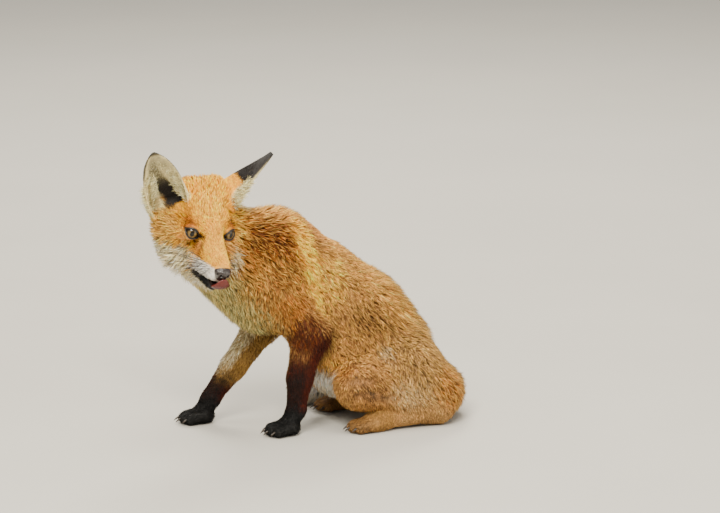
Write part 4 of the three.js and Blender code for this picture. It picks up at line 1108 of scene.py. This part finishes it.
def eyeball(side):
    """A ball with a bulging cornea over a flecked iris and an upright pupil."""
    rings, segments = 56, 72
    gaze = unit(eye_axes(side)[2] + EYE["gaze"])
    wide = unit(np.cross(at(0, 0, 1), gaze))
    up = np.cross(gaze, wide)
    polar = np.pi * (np.arange(1, rings) / rings) ** 1.25
    turn = 2 * np.pi * np.arange(segments) / segments
    a, b = np.meshgrid(polar, turn, indexing="ij")
    a, b = np.r_[0, a.ravel(), np.pi], np.r_[0, b.ravel(), 0]
    degrees = np.degrees(a)
    reach = EYE["radius"] + 0.75 * np.clip(1 - (degrees / 46) ** 2, 0, 1) ** 0.8
    x, y = np.sin(a) * np.cos(b), np.sin(a) * np.sin(b)
    points = reach[:, None] * (x[:, None] * wide + y[:, None] * up + np.cos(a)[:, None] * gaze)
    u, v = EYE["radius"] * x, EYE["radius"] * y
    colour = np.empty((len(a), 3))
    rim, light, dark, black = (srgb(code) for code in ("1a110b", "8a6e3c", "40301a", "050403"))
    colour[:] = rim
    radius = np.hypot(u, v)
    fleck = 0.5 + 0.25 * np.sin(23 * b + 1) + 0.2 * np.sin(41 * b + 2 * radius) + 0.1 * np.sin(67 * b)
    iris = light + (dark - light) * np.clip(fleck, 0, 1)[:, None]
    # The iris darkens towards its rim, and a painted shadow of the upper lid darkens its top.
    iris = iris * ((1.15 - 0.9 * smooth(radius, 4.6, 7.2)) * (1 - 0.85 * smooth(v, 0.5, 5)))[:, None]
    colour += (iris - colour) * smooth(7.7 - radius, 0, 0.8)[:, None] * (a < 1.4)[:, None]
    pupil = np.hypot(u / 2.9, v / 3.8)
    colour += (black - colour) * (smooth(1.12 - pupil, 0, 0.2) * (a < 1.4))[:, None]
    faces = []
    for j in range(segments):
        k = (j + 1) % segments
        faces.append((0, 1 + j, 1 + k))
        for i in range(rings - 2):
            p, q = 1 + i * segments, 1 + (i + 1) * segments
            faces += [(p + j, q + j, q + k), (p + j, q + k, p + k)]
        last = 1 + (rings - 2) * segments
        faces.append((last + j, len(a) - 1, last + k))
    faces = np.array(faces)
    return in_head(points + on_side(side, EYE["centre"])), outward(points, faces), colour


for side, name in ((1, "left"), (-1, "right")):
    points, faces, colour = eyeball(side)
    make_object(f"eyeball_{name}", points, faces, eye_material, colour, replaces=[f"eye_{name}"])

head_skin = head_field(1)


def drop_to_skin(point, out):
    """The place where a line along out, from outside, meets the head's skin."""
    point = point + 24 * out
    for _ in range(40):
        point = point - out * float(head_skin(np.float32(point)[None])[0]) * 0.7
    return point


lids = []
for side in SIDES:
    wide, up, out = eye_axes(side)
    angles = np.linspace(0, 2 * np.pi, 73)
    u = 0.485 * EYE["width"] * np.cos(angles)
    v = 0.5 * EYE["height"] * (1 - (2 * u / EYE["width"]) ** 2) * np.sign(np.sin(angles) + 1e-9)
    eye_middle = on_side(side, EYE["centre"])
    path = np.array([drop_to_skin(eye_middle + a * wide + b * up, out) for a, b in zip(u, v)])
    path = (path + np.roll(path, 1, 0) + np.roll(path, -1, 0)) / 3
    path[0] = path[-1] = (path[1] + path[-2]) / 2
    rim = 1.0 + 0.35 * np.abs(np.sin(angles))
    lids.append(tube(path - 0.3 * out, rim, rim, out, 10))
    inner = -side * np.sign(wide[1])
    start = eye_middle + 0.46 * EYE["width"] * inner * wide
    duct = [drop_to_skin(start + at(k * 2.0, -side * k * 1.05, -k * 1.3), out) for k in range(6)]
    taper = np.linspace(1.3, 0.3, 6)
    lids.append(tube(np.array(duct) - 0.4 * out, taper, taper, out, 8))
points, faces = join(lids)
make_object("eyelids", in_head(points), faces, lid_material)

pad = blend(5, ball(at(61, 0, -19), at(11, 13, 8.4)), ball(at(60, 0, -26), at(9.4, 9.6, 8)))
nostrils = [bone(at(61, s * 6.4, -19.5), at(77, s * 4.4, -20.8), 1.5, 2.5) for s in SIDES]
slits = [bone(at(66, s * 7.6, -20.5), at(66, s * 11.5, -17.5), 1.2, 0.7) for s in SIDES]
groove = bone(at(71.5, 0, -21), at(68.5, 0, -35), 0.7, 0.7)


def nose_field(p):
    d = pad(p) + 0.25 * np.sin(p[:, 1] * 0.8) ** 2
    for hole in (*nostrils, *slits, groove):
        d = -soften(1.6, -d, hole(p))
    return d


step = 0.6
axes = [np.arange(a, b, step) for a, b in ((47, 75), (-15, 15), (-37, -8))]
points, quads = surface_nets(nose_field, axes)
shade = np.full((len(points), 3), 1.0) * srgb("2a2220")
make_object("nose_pad", in_head(points), quads, nose_material, shade, replaces=["nose"])

path = [at(x, -1, z) for x, z in ((24, -47), (48, -47), (63, -45), (71, -40), (75, -32), (74.5, -23))]
path = np.array([curve_point(path, t) for t in np.linspace(0, 1, 33)])
along = np.linspace(0, 1, 33)
half = (7 + 6.6 * smooth(along, 0.3, 0.6)) * np.minimum(1, 3.2 * (1 - along + 0.02)) ** 0.5
high = 2.6 * np.minimum(1, 4 * (1 - along + 0.03)) ** 0.5


def tongue_section(a):
    u, v = np.cos(a), np.sin(a)
    return u, v * (0.75 + 0.25 * np.abs(v)) - 0.35 * np.exp(-(u / 0.18) ** 2) * (v > 0) + 0.35 * u * u


points, faces = tube(path, half, high, at(-0.3, 0, 1), 40, tongue_section)
# Painted shade inside the mouth: the tongue fades to nearly black towards its root.
colour = srgb("5c1a13") * (0.06 + 0.94 * smooth(points[:, :1], 58, 68))
faces = outward(points - points.mean(0), faces)
make_object("tongue_flesh", in_head(points), faces, tongue_material, colour, replaces=["tongue"])

claws = []
for _, _, root_point, size, turn in PAWS:
    for far, y in toes(size):
        base, tip_point = at(-3 - far, y, 9.5), at(-far - 13.5, 1.05 * y, 4)
        t = np.linspace(0, 1, 9)[:, None]
        bend = (base + tip_point) / 2 + at(-0.6, 0, 2.4)
        path = base * (1 - t) ** 2 + 2 * bend * t * (1 - t) + tip_point * t * t
        taper = (1 - t[:, 0]) ** 0.7
        piece = tube(path, 1.5 * taper + 0.15, 2.1 * taper + 0.15, at(0, 0, 1), 10)
        claws.append((piece[0] @ paw_axes(turn) + at(root_point[0], root_point[1], 0), piece[1]))
points, faces = join(claws)
make_object("claws", points, faces, claw_material,
            replaces=[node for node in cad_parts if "claw" in node])


def whisker(start, length, way, sag, thick, fine, up):
    """A hair that bends by sag on its way, thick + fine wide at its root and fine at its tip."""
    t = np.linspace(0, 1, 8)[:, None]
    path = start + length * (t * way + t * t * sag)
    thin = thick * (1 - t[:, 0]) + fine
    return tube(path, thin, thin, up, 5)


whiskers = []
for side in SIDES:
    for row in range(4):
        for column in range(4):
            place = at(50 - 7.5 * column - 2 * row, side * 9, -22 - 4.0 * row)
            start = drop_to_skin(place, unit(at(0.1, side, -0.1)))
            long = (24 + 11 * column) * rng.uniform(0.85, 1.1)
            way = unit(at(0.25 - 0.32 * column, side * 1.0, 0.12 - 0.2 * row + 0.08 * rng.normal()))
            whiskers.append(whisker(start - way, long, way, at(-0.20, 0, -0.22), 0.42, 0.06, at(0.1, 0.1, 1)))
    for k in range(2):
        start = drop_to_skin(at(-10 - 4 * k, side * 22, 14), unit(at(0.3, side * 0.3, 1)))
        way = unit(at(0.35, side * 0.8, 0.9))
        whiskers.append(whisker(start, 26, way, at(-0.4, 0, -0.1), 0.25, 0.05, at(1, 0, 0)))
points, faces = join(whiskers)
make_object("whiskers", in_head(points), faces, whisker_material)


# ---------------------------------------------------------------- floor, light and camera

floor_mesh = bpy.data.meshes.new("floor")
floor_mesh.from_pydata([(-6, -6, 0), (6, -6, 0), (6, 6, 0), (-6, 6, 0)], [], [(0, 1, 2, 3)])
floor = bpy.data.objects.new("floor", floor_mesh)
bpy.context.scene.collection.objects.link(floor)
floor_mesh.materials.append(node_material("floor", 0.9, 3, 0.02, colour=(0.52, 0.50, 0.46)))
floor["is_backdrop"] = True

azimuth, elevation = np.radians(-20), np.radians(12)
back = at(np.sin(azimuth) * np.cos(elevation), -np.cos(azimuth) * np.cos(elevation), np.sin(elevation))
right = at(np.cos(azimuth), np.sin(azimuth), 0)
above = np.cross(back, right)


def aim(obj, place, target):
    obj.location = place
    obj.rotation_euler = Vector(place - target).to_track_quat("Z", "Y").to_euler()
    bpy.context.scene.collection.objects.link(obj)


target = to_frame(56 * right + 244.3 * above + 100 * back)
camera = bpy.data.cameras.new("camera")
camera.sensor_width = 36
camera.lens = 275.9
camera.clip_end = 50
camera_object = bpy.data.objects.new("camera", camera)
aim(camera_object, target + 8 * back, target)
bpy.context.scene.camera = camera_object

LAMPS = [("key", at(-1.6, -2.4, 2.9), 1.3, 196), ("fill", at(2.4, -2.4, 1.2), 2.4, 62),
         ("rim", at(0.9, 2.4, 2.6), 1.4, 120), ("top", at(0, -0.2, 3.2), 2.0, 80),
         ("glint", at(-0.7, -2.6, 2.1), 0.4, 46)]
for name, place, size, power in LAMPS:
    lamp = bpy.data.lights.new(name, "AREA")
    lamp.size = size
    lamp.energy = power
    lamp.color = (1, 0.94, 0.81)
    aim(bpy.data.objects.new(name, lamp), place, at(0, 0, 0.22))

world = bpy.data.worlds.new("studio")
world.use_nodes = True
world.node_tree.nodes["Background"].inputs["Color"].default_value = (0.84, 0.82, 0.765, 1)
world.node_tree.nodes["Background"].inputs["Strength"].default_value = 0.6
bpy.context.scene.world = world

low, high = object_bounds()
